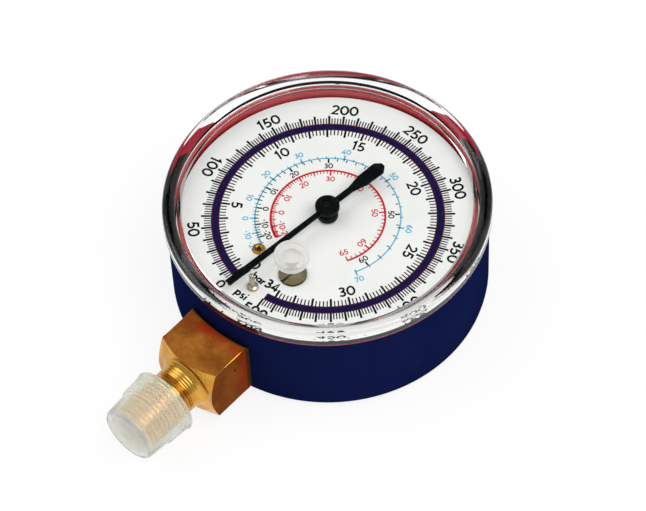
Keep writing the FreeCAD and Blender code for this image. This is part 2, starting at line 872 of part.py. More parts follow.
def make_pinion_arbor():
    """Pinion cut on the pointer's arbor, which passes up through the dial into the hub."""
    points = []
    for j in range(pinion_teeth):
        points += tooth_outline(pinion_teeth, sector_axis_angle + (j + 0.5) * 360 / pinion_teeth)
    points = drop_repeats(points)
    wire = Part.makePolygon(points + [points[0]])
    low = sector_bottom - pinion_face_margin
    high = sector_top + pinion_face_margin
    teeth = Part.Face(wire).extrude(Vec(0, 0, high - low))
    teeth.translate(Vec(0, 0, low))
    clear = small_clearance
    pivot = cylinder(pinion_pivot_radius, seat_height + clear, low)
    shoulder = cylinder(pinion_arbor_radius, back_plate_top + clear, low)
    shaft = cylinder(pinion_arbor_radius, high, hub_bottom)
    seat = cylinder(arbor_seat_radius, hub_bottom, hub_top)
    return teeth.fuse([pivot, shoulder, shaft, seat]).removeSplitter()


def make_pinion_bush():
    """Brass bush in the front plate that guides the pointer's arbor."""
    bush = cylinder(bush_radius, front_plate_bottom, front_plate_top)
    bush = bush.fuse(cylinder(bush_neck_radius, front_plate_top, front_plate_top + bush_height))
    bore = pinion_arbor_radius + small_clearance
    return bush.cut(cylinder(bore, front_plate_bottom, front_plate_top + bush_height)).removeSplitter()


def spring_end():
    """Place of the hairspring's outer end."""
    return Vec(spring_start + spring_turns * spring_pitch, 0, 0)


def make_hairspring():
    """Flat spiral of half circles on two alternating centres."""
    step = spring_pitch / 2
    half_turns = 2 * spring_turns
    outer = []
    inner = []
    for i in range(half_turns):
        centre = step if i % 2 else 0.0
        radius = spring_start + i * step
        start = 180.0 * (i % 2)
        for chain, offset in ((outer, spring_strip / 2), (inner, -spring_strip / 2)):
            arc = [Vec(centre, 0, 0) + polar(radius + offset, start + turn) for turn in (0, 90, 180)]
            chain.append(arc)
    edges = [Part.Arc(*arc).toShape() for arc in outer]
    edges.append(Part.LineSegment(outer[-1][2], inner[-1][2]).toShape())
    edges += [Part.Arc(arc[2], arc[1], arc[0]).toShape() for arc in reversed(inner)]
    edges.append(Part.LineSegment(inner[0][0], outer[0][0]).toShape())
    strip = Part.Face(Part.Wire(edges)).extrude(Vec(0, 0, spring_height))
    strip.translate(Vec(0, 0, spring_bottom))
    return strip


def make_hairspring_collet():
    """Collet on the arbor that takes the spring's inner end."""
    bottom = spring_bottom - collet_margin
    top = spring_bottom + spring_height + collet_margin
    return cylinder(collet_radius, bottom, top).cut(cylinder(pinion_arbor_radius, bottom, top))


def make_hairspring_stud():
    """Square stud under the front plate, slotted round the spring's outer end."""
    end = spring_end()
    half = stud_side / 2
    stud = block(
        end.x - half, end.x + half, -half, half, spring_bottom - collet_margin, front_plate_bottom)
    return stud.cut(make_hairspring())


def make_dial():
    """White dial plate with its holes."""
    dial = cylinder(dial_radius, dial_bottom, dial_top)
    dial = dial.cut(cylinder(dial_centre_bore, dial_bottom, dial_top))
    holes = [(polar(*place), eyelet_shank_radius + small_clearance) for place in post_places]
    holes.append((polar(*stop_pin_place), stop_pin_radius + small_clearance))
    holes.append((polar(*adjuster_place), adjuster_shank_radius + adjuster_dial_clearance))
    for centre, radius in holes:
        dial = dial.cut(cylinder(radius, dial_bottom, dial_top, centre))
    return dial


def make_dial_posts():
    """Posts on the front plate that carry the dial."""
    posts = []
    for place in post_places:
        centre = polar(*place)
        post = cylinder(post_radius, front_plate_top, dial_bottom, centre)
        post = post.fuse(cylinder(post_spigot_radius, front_plate_bottom, front_plate_top, centre))
        bore = cylinder(post_bore_radius, dial_bottom - post_bore_depth, dial_bottom, centre)
        posts.append(post.cut(bore))
    return Part.makeCompound(posts)


def make_dial_eyelets():
    """Brass eyelets that hold the dial on its posts, with rolled heads."""
    eyelets = []
    roll = eyelet_roll
    for place in post_places:
        body = turned([
            (eyelet_hole_radius, dial_bottom - post_bore_depth + small_clearance),
            (eyelet_shank_radius, dial_bottom - post_bore_depth + small_clearance),
            (eyelet_shank_radius, dial_top),
            (eyelet_radius, dial_top),
            (eyelet_radius - roll, dial_top + eyelet_height),
            (eyelet_hole_radius + roll, dial_top + eyelet_height),
            (eyelet_hole_radius, dial_top + eyelet_height - roll),
        ])
        body.translate(polar(*place))
        eyelets.append(body)
    return Part.makeCompound(eyelets)


def make_stop_pin():
    """Nickelled pin riveted in the dial, with a domed base, that stops the pointer below zero."""
    pin_top = window_bottom - stop_pin_window_gap
    foot_round = stop_base_radius - stop_pin_radius
    pin = turned([
        (0, dial_bottom - stop_tail),
        (stop_pin_radius, dial_bottom - stop_tail),
        (stop_pin_radius, dial_top),
        *flats(stop_base_radius - foot_round, dial_top, foot_round, 0, 90),
        (stop_pin_radius, dial_top + stop_base_height),
        *flats(0, pin_top - stop_pin_radius, stop_pin_radius, 0, 90),
    ])
    pin.translate(polar(*stop_pin_place))
    return pin


def make_adjusting_screw():
    """Slotted nickelled screw, turned from the front to set the pointer to zero."""
    bottom = dial_top + adjuster_head_gap
    top = bottom + adjuster_head_height
    edge = top - adjuster_crown
    shank_end = front_plate_bottom - adjuster_boss_height - adjuster_reach
    crown_radius = (adjuster_head_radius ** 2 + adjuster_crown ** 2) / (2 * adjuster_crown)
    half_turn = math.degrees(math.asin(adjuster_head_radius / crown_radius))
    screw = turned([
        (0, shank_end),
        (adjuster_shank_radius, shank_end),
        (adjuster_shank_radius, bottom),
        (adjuster_head_radius, bottom),
        (adjuster_head_radius, edge),
        arc_step(0, top - crown_radius, crown_radius, 90 - half_turn / 2, 90),
    ])
    half = adjuster_slot_width / 2
    slot = block(
        -adjuster_head_radius, adjuster_head_radius, -half, half, top - adjuster_slot_depth, top)
    slot.rotate(ORIGIN, Z_AXIS, adjuster_slot_angle)
    screw = screw.cut(slot)
    screw.translate(polar(*adjuster_place))
    return screw


def make_pointer():
    """Black pointer: a blade that widens to a blunt tip, and a six-sided counterweight on its tail."""
    outline = [
        (pointer_length, -pointer_tip_width / 2),
        (pointer_length, pointer_tip_width / 2),
        (hub_radius, pointer_root_width / 2),
        (0, hub_radius, -hub_radius, tail_neck_width / 2),
        (-tail_flare_start, tail_neck_width / 2),
        (-tail_flare_end, tail_flare_width / 2),
        (-tail_shoulder, tail_shoulder_width / 2),
        (-tail_end, tail_point_width / 2),
        (-tail_end, -tail_point_width / 2),
        (-tail_shoulder, -tail_shoulder_width / 2),
        (-tail_flare_end, -tail_flare_width / 2),
        (-tail_flare_start, -tail_neck_width / 2),
        (-hub_radius, -tail_neck_width / 2),
        (0, -hub_radius, hub_radius, -pointer_root_width / 2),
    ]
    face = outline_face(outline, lambda u, v: Vec(u, v, pointer_bottom))
    blade = face.extrude(Vec(0, 0, pointer_thickness))
    blade = blade.cut(cylinder(hub_neck_radius, pointer_bottom, pointer_top))
    blade.rotate(ORIGIN, Z_AXIS, pointer_rest_angle)
    return blade


def make_pointer_hub():
    """Black hub pressed on the arbor, riveted over the pointer."""
    return turned([
        (arbor_seat_radius, hub_bottom),
        (hub_radius, hub_bottom),
        (hub_radius, pointer_bottom),
        (hub_neck_radius, pointer_bottom),
        (hub_neck_radius, pointer_top),
        (hub_cap_radius, pointer_top),
        (hub_cap_radius, hub_top - hub_cap_bevel),
        (hub_cap_radius - hub_cap_bevel, hub_top),
        (arbor_seat_radius, hub_top),
    ])


def main():
    """Build every sub-part and write it."""
    os.makedirs("parts", exist_ok=True)
    save(make_case(), "case")
    save(make_case_screws(), "case_screws")
    save(make_mouth_ring(), "mouth_ring")
    save(make_lens_seal(), "lens_seal")
    save(make_lens(), "lens")
    save(make_lens_plug(), "lens_plug")
    save(make_socket(), "socket")
    save(make_restrictor(), "restrictor")
    save(make_thread_cap(), "thread_cap")
    save(make_bourdon_tube(), "bourdon_tube")
    save(make_tube_tip(), "tube_tip")
    save(make_link_screw(tip_pin), "tip_screw")
    save(make_link(), "link")
    save(make_link_screw(tail_pin), "link_screw")
    save(make_back_plate(), "movement_back_plate")
    save(make_front_plate(), "movement_front_plate")
    save(make_pillars(), "movement_pillars")
    save(make_plate_screws(), "plate_screws")
    save(make_seat_screws(), "seat_screws")
    save(make_sector_gear(), "sector_gear")
    save(make_sector_arbor(), "sector_arbor")
    save(make_pinion_arbor(), "pinion_arbor")
    save(make_pinion_bush(), "pinion_bush")
    save(make_hairspring(), "hairspring")
    save(make_hairspring_collet(), "hairspring_collet")
    save(make_hairspring_stud(), "hairspring_stud")
    save(make_dial(), "dial")
    save(make_dial_posts(), "dial_posts")
    save(make_dial_eyelets(), "dial_eyelets")
    save(make_stop_pin(), "stop_pin")
    save(make_adjusting_screw(), "adjusting_screw")
    save(make_pointer(), "pointer")
    save(make_pointer_hub(), "pointer_hub")


main()
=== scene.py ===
# %% [markdown]
# # A refrigerant pressure gauge, dressed for a studio picture
# The construction of this gauge is already there: thirty-three nodes at their real size, each on the body
# that carries it. This lesson gives them their looks. It works in metres, +Z up, with the gauge lying on
# its back and its stem along -Y. The first cell loads the model.

# %% Load the model
import math

import bmesh
import bpy
from mathutils import Matrix, Vector


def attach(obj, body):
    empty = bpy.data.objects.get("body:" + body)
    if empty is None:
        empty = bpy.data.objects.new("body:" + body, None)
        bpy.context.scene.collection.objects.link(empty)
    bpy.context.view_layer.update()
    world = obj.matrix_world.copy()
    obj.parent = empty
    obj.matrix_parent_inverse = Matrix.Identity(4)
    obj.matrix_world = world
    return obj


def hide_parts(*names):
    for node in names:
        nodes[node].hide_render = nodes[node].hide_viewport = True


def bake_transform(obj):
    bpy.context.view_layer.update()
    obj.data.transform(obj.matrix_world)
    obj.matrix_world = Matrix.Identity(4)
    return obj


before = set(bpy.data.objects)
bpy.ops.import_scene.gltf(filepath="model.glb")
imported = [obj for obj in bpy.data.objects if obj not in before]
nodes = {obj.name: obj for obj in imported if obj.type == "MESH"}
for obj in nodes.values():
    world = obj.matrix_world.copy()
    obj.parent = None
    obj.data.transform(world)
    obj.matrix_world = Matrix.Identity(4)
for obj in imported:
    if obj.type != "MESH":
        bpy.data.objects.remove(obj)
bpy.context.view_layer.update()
mm = 0.001

# %% [markdown]
# ## The camera
# The picture of a round dial gives the camera away: its circles turn into ellipses, and their centres
# drift. A fit of those circles gave a long lens, a little over half a metre off, high above the stem's
# right-hand side. The camera is built from the point it aims at, its distance and three angles, so that
# each number says something.

# %% Camera
picture_width = 646
sensor_width = 36.0
focal_pixels = 3186.4
camera_aim = Vector((5.56, -7.69, 19.83)) * mm
camera_distance = 628.0 * mm
camera_azimuth = 44.42
camera_elevation = 54.85
camera_roll = -3.23


def add_camera():
    """Long-lens camera that looks down at the dial."""
    camera = bpy.data.cameras.new("camera")
    camera.sensor_width = sensor_width
    camera.lens = focal_pixels * sensor_width / picture_width
    camera.clip_start = 0.01
    turn = Matrix.Rotation(math.radians(camera_azimuth), 4, "Z")
    tilt = Matrix.Rotation(math.radians(90 - camera_elevation), 4, "X")
    roll = Matrix.Rotation(math.radians(camera_roll), 4, "Z")
    facing = turn @ tilt @ roll
    place = camera_aim + facing.col[2].to_3d() * camera_distance
    stand = bpy.data.objects.new("camera", camera)
    stand.matrix_world = Matrix.Translation(place) @ facing
    bpy.context.scene.collection.objects.link(stand)
    bpy.context.scene.camera = stand
    return stand


camera = add_camera()
print("camera at", [round(c / mm) for c in camera.location], "mm, lens", round(camera.data.lens, 1), "mm")

# %% [markdown]
# ## Profiles and turned pieces
# Most of a gauge is turned, pressed or moulded about one axis. So one helper turns a profile round the
# gauge's axis or round the stem's. A profile is a loop of corners (radius, height), and a third number
# rounds that corner. A real edge is never perfectly sharp, and the small rounds are what catches the
# light.

# %% Turned pieces
stem_height = 9.3
corner_steps = 8
axis_gap = 1e-6
sharp_angle = 32


def rounded(corners):
    """Closed loop of points through corners (u, v) or (u, v, radius), with arcs at the rounded ones."""
    points = []
    count = len(corners)
    for k, corner in enumerate(corners):
        here = Vector(corner[:2])
        if len(corner) < 3:
            points.append(here)
            continue
        before = (Vector(corners[k - 1][:2]) - here).normalized()
        after = (Vector(corners[(k + 1) % count][:2]) - here).normalized()
        half = before.angle(after) / 2
        reach = corner[2] / math.tan(half)
        centre = here + (before + after).normalized() * corner[2] / math.sin(half)
        start = here + before * reach - centre
        turn = start.angle_signed(here + after * reach - centre)
        for step in range(corner_steps + 1):
            angle = turn * step / corner_steps
            c = math.cos(angle)
            s = math.sin(angle)
            points.append(centre + Vector((c * start.x + s * start.y, c * start.y - s * start.x)))
    return points


def finish_mesh(form, name, sharp=sharp_angle):
    """Turns a bmesh into an object: faces outward, smooth where the surface bends gently."""
    bmesh.ops.recalc_face_normals(form, faces=form.faces)
    mesh = bpy.data.meshes.new(name)
    form.to_mesh(mesh)
    form.free()
    mesh.shade_smooth()
    mesh.set_sharp_from_angle(angle=math.radians(sharp))
    piece = bpy.data.objects.new(name, mesh)
    bpy.context.scene.collection.objects.link(piece)
    return piece


def turned(form, profile, centre=(0.0, 0.0), steps=96, on_stem=False):
    """Adds a solid turned from a closed profile, round an upright axis or round the stem's axis."""
    points = rounded(profile)
    rings = []
    for u, v in points:
        ring = []
        for k in range(steps):
            angle = 2 * math.pi * k / steps
            x = u * math.cos(angle)
            y = u * math.sin(angle)
            place = (x, -v, stem_height + y) if on_stem else (centre[0] + x, centre[1] + y, v)
            ring.append(form.verts.new(Vector(place) * mm))
            if u < axis_gap:
                break
        rings.append(ring)
    for one, two in zip(rings, rings[1:] + rings[:1]):
        for k in range(steps):
            n = k + 1
            loop = [one[k % len(one)], one[n % len(one)], two[n % len(two)], two[k % len(two)]]
            corners = list(dict.fromkeys(loop))
            if len(corners) > 2:
                form.faces.new(corners)


def turned_piece(name, profile, places=((0.0, 0.0),), steps=96):
    """Object turned from one profile, once at each place."""
    form = bmesh.new()
    for place in places:
        turned(form, profile, place, steps)
    return finish_mesh(form, name)


def polar(radius, angle):
    """Point in the dial's plane, in millimetres."""
    return radius * math.cos(math.radians(angle)), radius * math.sin(math.radians(angle))


corner = rounded([(0, 0), (5, 0, 1), (5, 5)])
print("a corner rounded by 1 mm:", [tuple(round(c, 2) for c in point) for point in corner])

# %% [markdown]
# ## Finishes
# A finish is a Principled shader and a little unevenness. Nothing real is one flat colour: enamel has a
# fine orange peel, brass stains, nickel clouds over. One helper makes the shader, a second adds noise to
# its colour, and a third adds noise or turning marks to its surface. Colours are written as they look on
# a screen, and turned to linear here.

# %% Shader helpers


def linear(red, green, blue):
    """Linear colour of a screen colour from 0 to 255."""
    shares = [c / 255 for c in (red, green, blue)]
    return [c / 12.92 if c <= 0.04045 else ((c + 0.055) / 1.055) ** 2.4 for c in shares] + [1.0]


def shader(name, colour, roughness, metallic=0.0, **sockets):
    """New material with a Principled shader; other sockets are set by their names."""
    material = bpy.data.materials.new(name)
    material.use_nodes = True
    surface = material.node_tree.nodes["Principled BSDF"]
    surface.inputs["Base Color"].default_value = linear(*colour)
    surface.inputs["Roughness"].default_value = roughness
    surface.inputs["Metallic"].default_value = metallic
    for socket, value in sockets.items():
        surface.inputs[socket.replace("_", " ")].default_value = value
    return material


def add_node(material, kind, **settings):
    """New shader node with its settings; names of sockets go in a dictionary called sockets."""
    node = material.node_tree.nodes.new(kind)
    sockets = settings.pop("sockets", {})
    for key, value in settings.items():
        setattr(node, key, value)
    for key, value in sockets.items():
        node.inputs[key].default_value = value
    return node


def connect(material, source, target):
    """Link between two sockets."""
    material.node_tree.links.new(source, target)


def feed(material, value, socket):
    """Links a socket to another one, or sets it to a number or a screen colour."""
    if isinstance(value, tuple):
        socket.default_value = linear(*value)
    elif isinstance(value, float):
        socket.default_value = value
    else:
        connect(material, value, socket)


def noise(material, scale, detail):
    """Noise in the piece's own space, scale in lumps per millimetre."""
    place = add_node(material, "ShaderNodeTexCoord")
    mapping = add_node(material, "ShaderNodeMapping", sockets={"Scale": [scale / mm] * 3})
    lumps = add_node(material, "ShaderNodeTexNoise", sockets={"Scale": 1.0, "Detail": detail})
    connect(material, place.outputs["Object"], mapping.inputs["Vector"])
    connect(material, mapping.outputs["Vector"], lumps.inputs["Vector"])
    return lumps.outputs["Fac"]


def spread(material, value, low, high, start=0.3, end=0.7):
    """Value stretched from start and end to low and high."""
    limits = {"From Min": start, "From Max": end, "To Min": low, "To Max": high}
    node = add_node(material, "ShaderNodeMapRange", sockets=limits)
    connect(material, value, node.inputs["Value"])
    return node.outputs["Result"]


def mixed(material, share, first, second):
    """Colour between two, which are sockets or screen colours."""
    node = add_node(material, "ShaderNodeMix", data_type="RGBA")
    connect(material, share, node.inputs["Factor"])
    for colour, socket in zip((first, second), (s for s in node.inputs if s.type == "RGBA")):
        feed(material, colour, socket)
    return [s for s in node.outputs if s.type == "RGBA"][0]


def drifting(material, scale, detail, first, second):
    """Colour that drifts between two, scale in lumps per millimetre."""
    return mixed(material, spread(material, noise(material, scale, detail), 0.0, 1.0), first, second)


def principled(material):
    """The material's Principled shader."""
    return material.node_tree.nodes["Principled BSDF"]


def vary(material, socket, value):
    """Lets a value that changes over the surface set one of the finish's sockets."""
    connect(material, value, principled(material).inputs[socket])


def paint(material, colour):
    """Gives a material a colour that changes over the surface."""
    vary(material, "Base Color", colour)


def roughen(material, value, depth):
    """Bump in micrometres from a value socket, after any bump that is there."""
    bump = add_node(material, "ShaderNodeBump", sockets={"Distance": depth * mm / 1000, "Strength": 1.0})
    target = principled(material).inputs["Normal"]
    if target.is_linked:
        connect(material, target.links[0].from_socket, bump.inputs["Normal"])
    connect(material, value, bump.inputs["Height"])
    connect(material, bump.outputs["Normal"], target)


print("mid grey 128 is", round(linear(128, 128, 128)[0], 3), "in linear light")

# %% [markdown]
# ## Navy enamel on the case
# The case is a pressed steel can under a thick coat of navy enamel. The picture shows it almost flat: the
# coat is smooth, but it scatters the studio's soft light. So the shader is fairly rough, with little
# mirror shine. A faint orange peel and slow drifts in the shade keep it from looking like plain plastic.

# %% Case


def navy_enamel():
    """Thick navy coat with a faint orange peel."""
    material = shader("navy_enamel", (18, 26, 70), 0.6, Specular_IOR_Level=0.0)
    paint(material, drifting(material, 0.06, 2.0, (16, 25, 68), (20, 29, 75)))
    roughen(material, noise(material, 1.6, 2.0), 4.0)
    return material


def dress(node, material):
    """Gives a carried-over node its finish."""
    slots = nodes[node].material_slots
    for slot in slots:
        slot.link = "DATA"
        slot.material = material
    if not slots:
        nodes[node].data.materials.append(material)


navy = navy_enamel()
dress("case", navy)
print("case:", len(nodes["case"].data.polygons), "faces in", navy.name)

# %% [markdown]
# ## Colours that follow a place
# Some finishes change from one place to another: the red ring is painted a deeper red at its flange as
# shade, and the brass is redder near the case. So a few helpers measure in the shader where a point lies,
# and fade a value between two places. The last one tells kinds of light rays apart, because a lens bends
# what the eye sees and still has to let lamp light pass.

# %% Places and rays
soft_edge = 0.05


def split(material, kind):
    """Sockets X, Y and Z of a point's place (Object) or of the way it faces (Normal)."""
    place = add_node(material, "ShaderNodeTexCoord")
    parts = add_node(material, "ShaderNodeSeparateXYZ")
    connect(material, place.outputs[kind], parts.inputs["Vector"])
    return parts.outputs


def axis_distance(material, keep=(1, 1, 0), shift=(0, 0, 0)):
    """Distance from an axis, which is the gauge's own unless keep and shift name another."""
    place = add_node(material, "ShaderNodeTexCoord")
    flat = add_node(material, "ShaderNodeMapping", sockets={"Location": shift, "Scale": keep})
    distance = add_node(material, "ShaderNodeVectorMath", operation="LENGTH")
    connect(material, place.outputs["Object"], flat.inputs["Vector"])
    connect(material, flat.outputs["Vector"], distance.inputs[0])
    return distance.outputs["Value"]


def fade(material, value, start, end, low=0.0, high=1.0):
    """Value that goes from low to high between two places in millimetres."""
    return spread(material, value, low, high, start * mm, end * mm)


def calculated(material, operation, *values):
    """Result of one step of arithmetic on sockets or numbers."""
    node = add_node(material, "ShaderNodeMath", operation=operation)
    for value, socket in zip(values, node.inputs):
        feed(material, value, socket)
    return node.outputs["Value"]


def any_ray(material, *kinds):
    """1 for light rays of any of these kinds, and 0 for others."""
    rays = add_node(material, "ShaderNodeLightPath").outputs
    share = rays[kinds[0]]
    for kind in kinds[1:]:
        share = calculated(material, "MAXIMUM", share, rays[kind])
    return share


print("a soft edge is", 2 * soft_edge, "mm wide")

# %% [markdown]
# ## Red ring and black seal
# A red ring lies between the lens and the rim of the case. Its flange is a little wider than the case,
# and a band goes down inside to the dial. From outside it is only a red line, but the band colours the
# far side of the rim, seen through the clear lens. A flat black rubber seal lies in a step of the flange,
# and the lens bends its image into the dark wedges at both sides of the rim. Both are turned afresh here
# with finer steps, because the lens magnifies every facet. In the bright tent of the picture the ring
# throws hardly any red on the dial, so its shader is nearly grey for soft bounced light.

# %% Mouth ring
ring_outer = 31.25
ring_inner = 30.6
seal_outer = 32.1
flange_radius = 32.4
dial_bottom = 18.7
lens_seat = 22.7
seal_bottom = 22.45
case_rim = 22.2
fine_steps = 360
seal_gap = 0.005


def red_plastic():
    """Dyed plastic, soft in its shine, painted a deeper red at the flange as shade, that casts hardly any red
    on the dial.
    """
    material = shader("red_plastic", (190, 36, 44), 0.3)
    wall = drifting(material, 0.25, 3.0, (184, 36, 44), (202, 50, 52))
    # Painted shade: the flange's outer part is painted a deeper, darker red.
    outside = fade(material, axis_distance(material), ring_outer + 0.2, seal_outer)
    shaded_red = mixed(material, outside, wall, (158, 22, 44))
    paint(material, mixed(material, any_ray(material, "Is Diffuse Ray"), shaded_red, (120, 112, 110)))
    return material


def make_mouth_ring():
    """Ring of L section: a flange on the case's rim, stepped for the seal, and a band down inside."""
    return turned_piece("red_ring", [
        (ring_inner, dial_bottom),
        (ring_outer, dial_bottom),
        (ring_outer, case_rim),
        (flange_radius, case_rim),
        (flange_radius, lens_seat),
        (seal_outer, lens_seat),
        (seal_outer, seal_bottom),
        (ring_inner, seal_bottom),
    ], steps=fine_steps)


def make_seal():
    """Flat rubber ring in the step, with a hair of air all round so that no two faces lie in one plane."""
    return turned_piece("rubber_seal", [
        (ring_inner, seal_bottom + seal_gap),
        (seal_outer - seal_gap, seal_bottom + seal_gap),
        (seal_outer - seal_gap, lens_seat - seal_gap),
        (ring_inner, lens_seat - seal_gap),
    ], steps=fine_steps)


def settle(piece, body, slot, material, *replaced):
    """Finishes a new piece: its material, its body and the nodes it stands for. The slot is not used."""
    piece.data.materials.append(material)
    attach(piece, body)
    if replaced:
        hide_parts(*replaced)
    return piece


red = red_plastic()
rubber = shader("black_rubber", (4, 7, 8), 0.8, Specular_IOR_Level=0.0)
mouth_ring = settle(make_mouth_ring(), "case", "red_plastic", red, "mouth_ring")
seal = settle(make_seal(), "case", "black_rubber", rubber, "lens_seal")
print("ring:", len(mouth_ring.data.polygons), "faces, seal:", len(seal.data.polygons))

# %% [markdown]
# ## Lens
# The lens is moulded clear plastic: a flat window, a raised round bead, a flange that rests on the seal,
# and a short skirt inside the ring that thins downward. Its shape makes its looks, since every streak in
# the rim is the room or the ring bent by the bead. So it is a real solid with real walls, turned with
# fine steps, and the window's hole is cut with a boolean. The rim is very slightly hazy, which softens
# the streaks as in the picture. Light from lamps has to pass the lens unbent, or the dial would be dark:
# for shadow rays and soft bounced rays the shader is transparent.

# %% Lens
lens_radius = 32.7
skirt_outer = 30.48
skirt_top_inner = 28.9
skirt_inner = 29.8
skirt_bottom = 21.9
window_bottom = 23.8
window_top = 25.2
bead_top = 26.0
bead_foot = 30.1
bead_round = 1.03
plug_place = polar(15.6, -74.4)
plug_hole = 2.48
bead_steps = 20
haze_start = 29.2
haze_end = 30.4
rim_haze = 0.05


def blended(material, share, first, second):
    """Mix of two shaders by a share, which is a socket or a number."""
    node = add_node(material, "ShaderNodeMixShader")
    feed(material, share, node.inputs["Fac"])
    connect(material, first, node.inputs[1])
    connect(material, second, node.inputs[2])
    return node.outputs["Shader"]


def put_on(material, surface):
    """Makes a shader the material's surface."""
    connect(material, surface, material.node_tree.nodes["Material Output"].inputs["Surface"])


def pass_lamp_light(material, surface, share=1.0):
    """Puts on a shader that lets a share of lamp light and soft bounced light straight through."""
    light = any_ray(material, "Is Shadow Ray", "Is Diffuse Ray")
    if share < 1:
        light = calculated(material, "MULTIPLY", light, share)
    passing = add_node(material, "ShaderNodeBsdfTransparent")
    put_on(material, blended(material, light, surface, passing.outputs["BSDF"]))


def clear_plastic():
    """Clear plastic, polished but for the rim."""
    gloss = {"IOR": 1.49, "Transmission_Weight": 1.0, "Specular_IOR_Level": 0.25}
    material = shader("clear_plastic", (255, 255, 255), 0.0, **gloss)
    vary(material, "Roughness", fade(material, axis_distance(material), haze_start, haze_end, 0.0, rim_haze))
    pass_lamp_light(material, principled(material).outputs["BSDF"])
    return material


def cut_hole(piece, centre, radius, bottom, top):
    """Round upright hole through a piece."""
    drill = turned_piece("drill", [(0, bottom), (radius, bottom), (radius, top), (0, top)], (centre,))
    cut = piece.modifiers.new("hole", "BOOLEAN")
    cut.operation = "DIFFERENCE"
    cut.solver = "EXACT"
    cut.object = drill
    bpy.context.view_layer.update()
    shape = piece.evaluated_get(bpy.context.evaluated_depsgraph_get())
    mesh = bpy.data.meshes.new_from_object(shape)
    piece.modifiers.clear()
    piece.data = mesh
    bpy.data.objects.remove(drill)
    mesh.set_sharp_from_angle(angle=math.radians(sharp_angle))


def make_lens():
    """Crown turned round the gauge's axis, with a hole for the plug."""
    half = (lens_radius - bead_foot) / 2
    rise = bead_top - window_top
    inner = (half ** 2 + rise ** 2) / (2 * rise)
    peak = lens_radius - half
    bead = []
    for step in range(bead_steps + 1):
        angle = math.asin(half / inner) * step / bead_steps
        bead.append((peak - inner * math.sin(angle), bead_top - inner + inner * math.cos(angle)))
    piece = turned_piece("clear_lens", [
        (0, window_bottom),
        (skirt_top_inner, window_bottom, 0.15),
        (skirt_inner, skirt_bottom, 0.1),
        (skirt_outer, skirt_bottom),
        (skirt_outer, lens_seat),
        (lens_radius, lens_seat, 0.25),
        (lens_radius, bead_top, bead_round),
        *bead,
        (0, window_top),
    ], steps=fine_steps)
    cut_hole(piece, plug_place, plug_hole, window_bottom - 1, window_top + 1)
    return piece


glass = clear_plastic()
lens = settle(make_lens(), "lens", "clear_plastic", glass, "lens")
lens_top = max(vertex.co.z for vertex in lens.data.vertices)
print("lens:", len(lens.data.polygons), "faces, top at", round(lens_top / mm, 2), "mm")

# %% [markdown]
# ## Dial plate
# The dial is a thin white plate. Under the clear window it looks soft and even, so it gets a pale
# eggshell enamel, with a faint mottle that keeps the white alive.

# %% Dial plate
dial_top = 19.2


def white_enamel():
    """Pale eggshell enamel."""
    material = shader("white_enamel", (246, 248, 244), 0.5, Specular_IOR_Level=0.3)
    paint(material, drifting(material, 0.12, 3.0, (243, 245, 241), (249, 250, 247)))
    roughen(material, noise(material, 2.5, 2.0), 2.0)
    return material


dress("dial", white_enamel())
print("dial:", len(nodes["dial"].data.polygons), "faces")

# %% [markdown]
# ## Figures drawn with strokes
# The figures on such a dial are plain geometric ones: round noughts, a one with a flag. A font file isn't
# at hand, and tracing letters by hand is slow. But such figures are only lines and arcs drawn with one
# pen. So each is a short list of strokes in a box one unit high, and a helper lays a flat ribbon along
# each stroke.

# %% Figures
pen = 0.18
letter_gap = 0.035
ribbon_steps = 14


def arc(x, y, width, height, first, last):
    """Stroke along part of an ellipse."""
    points = []
    for k in range(ribbon_steps + 1):
        angle = math.radians(first + (last - first) * k / ribbon_steps)
        points.append((x + width * math.cos(angle), y + height * math.sin(angle)))
    return points


low = pen / 2
high = 1 - pen / 2
FIGURES = {
    "0": (0.76, [arc(0, 0.5, 0.30, high - 0.5, 90, 450)]),
    "1": (0.50, [[(-0.17, 0.76), (0.05, 0.93), (0.05, 0)]]),
    "2": (0.68, [arc(0, 0.68, 0.24, high - 0.68, 165, -30) + [(-0.24, low), (0.28, low)]]),
    "3": (0.66, [
        arc(-0.02, 0.72, 0.2, high - 0.72, 150, -90) + arc(-0.02, 0.295, 0.24, 0.295 - low, 90, -150),
    ]),
    "4": (0.72, [[(0.3, 0.26), (-0.27, 0.26), (0.12, 0.93), (0.12, 0)]]),
    "5": (0.68, [
        [(0.24, high), (-0.13, high), (-0.19, 0.52)] + arc(-0.04, 0.325, 0.27, 0.325 - low, 120, -140),
    ]),
    "6": (0.72, [arc(0, 0.31, 0.26, 0.31 - low, 90, 450), arc(0.34, 0.36, 0.6, 0.66, 108, 178)]),
    "7": (0.64, [[(-0.26, high), (0.24, high), (-0.12, 0)]]),
    "-": (0.42, [[(-0.14, 0.45), (0.14, 0.45)]]),
    "p": (0.70, [[(-0.24, 0.66), (-0.24, -0.3)], arc(0.02, 0.33, 0.24, 0.33 - low, 90, 450)]),
    "s": (0.52, [arc(0.0, 0.47, 0.13, 0.13, 50, 250) + arc(0.0, 0.2, 0.15, 0.14, 70, -140)]),
    "i": (0.28, [[(0, 0), (0, 0.62)], [(0, 0.8), (0, 0.94)]]),
    "b": (0.70, [[(-0.24, 1.0), (-0.24, 0)], arc(0.02, 0.33, 0.24, 0.33 - low, 90, 450)]),
    "a": (0.70, [[(0.24, 0.66), (0.24, 0)], arc(-0.02, 0.33, 0.24, 0.33 - low, 90, 450)]),
    "r": (0.44, [[(-0.12, 0.66), (-0.12, 0)], arc(0.1, 0.4, 0.2, 0.2, 165, 75)]),
}
print(len(FIGURES), "figures and letters")

# %% [markdown]
# ## Printing on the dial
# Print is a film of ink a few hundredths of a millimetre thick. A flat sheet would be enough for the eye,
# but a closed film is a sound mesh, so every tick and stroke is a tiny solid that stands a little above
# the enamel. All marks of one ink are one piece.

# %% Ink helpers
ink_sunk = 0.01
ink_height = 0.02
ring_steps = 360


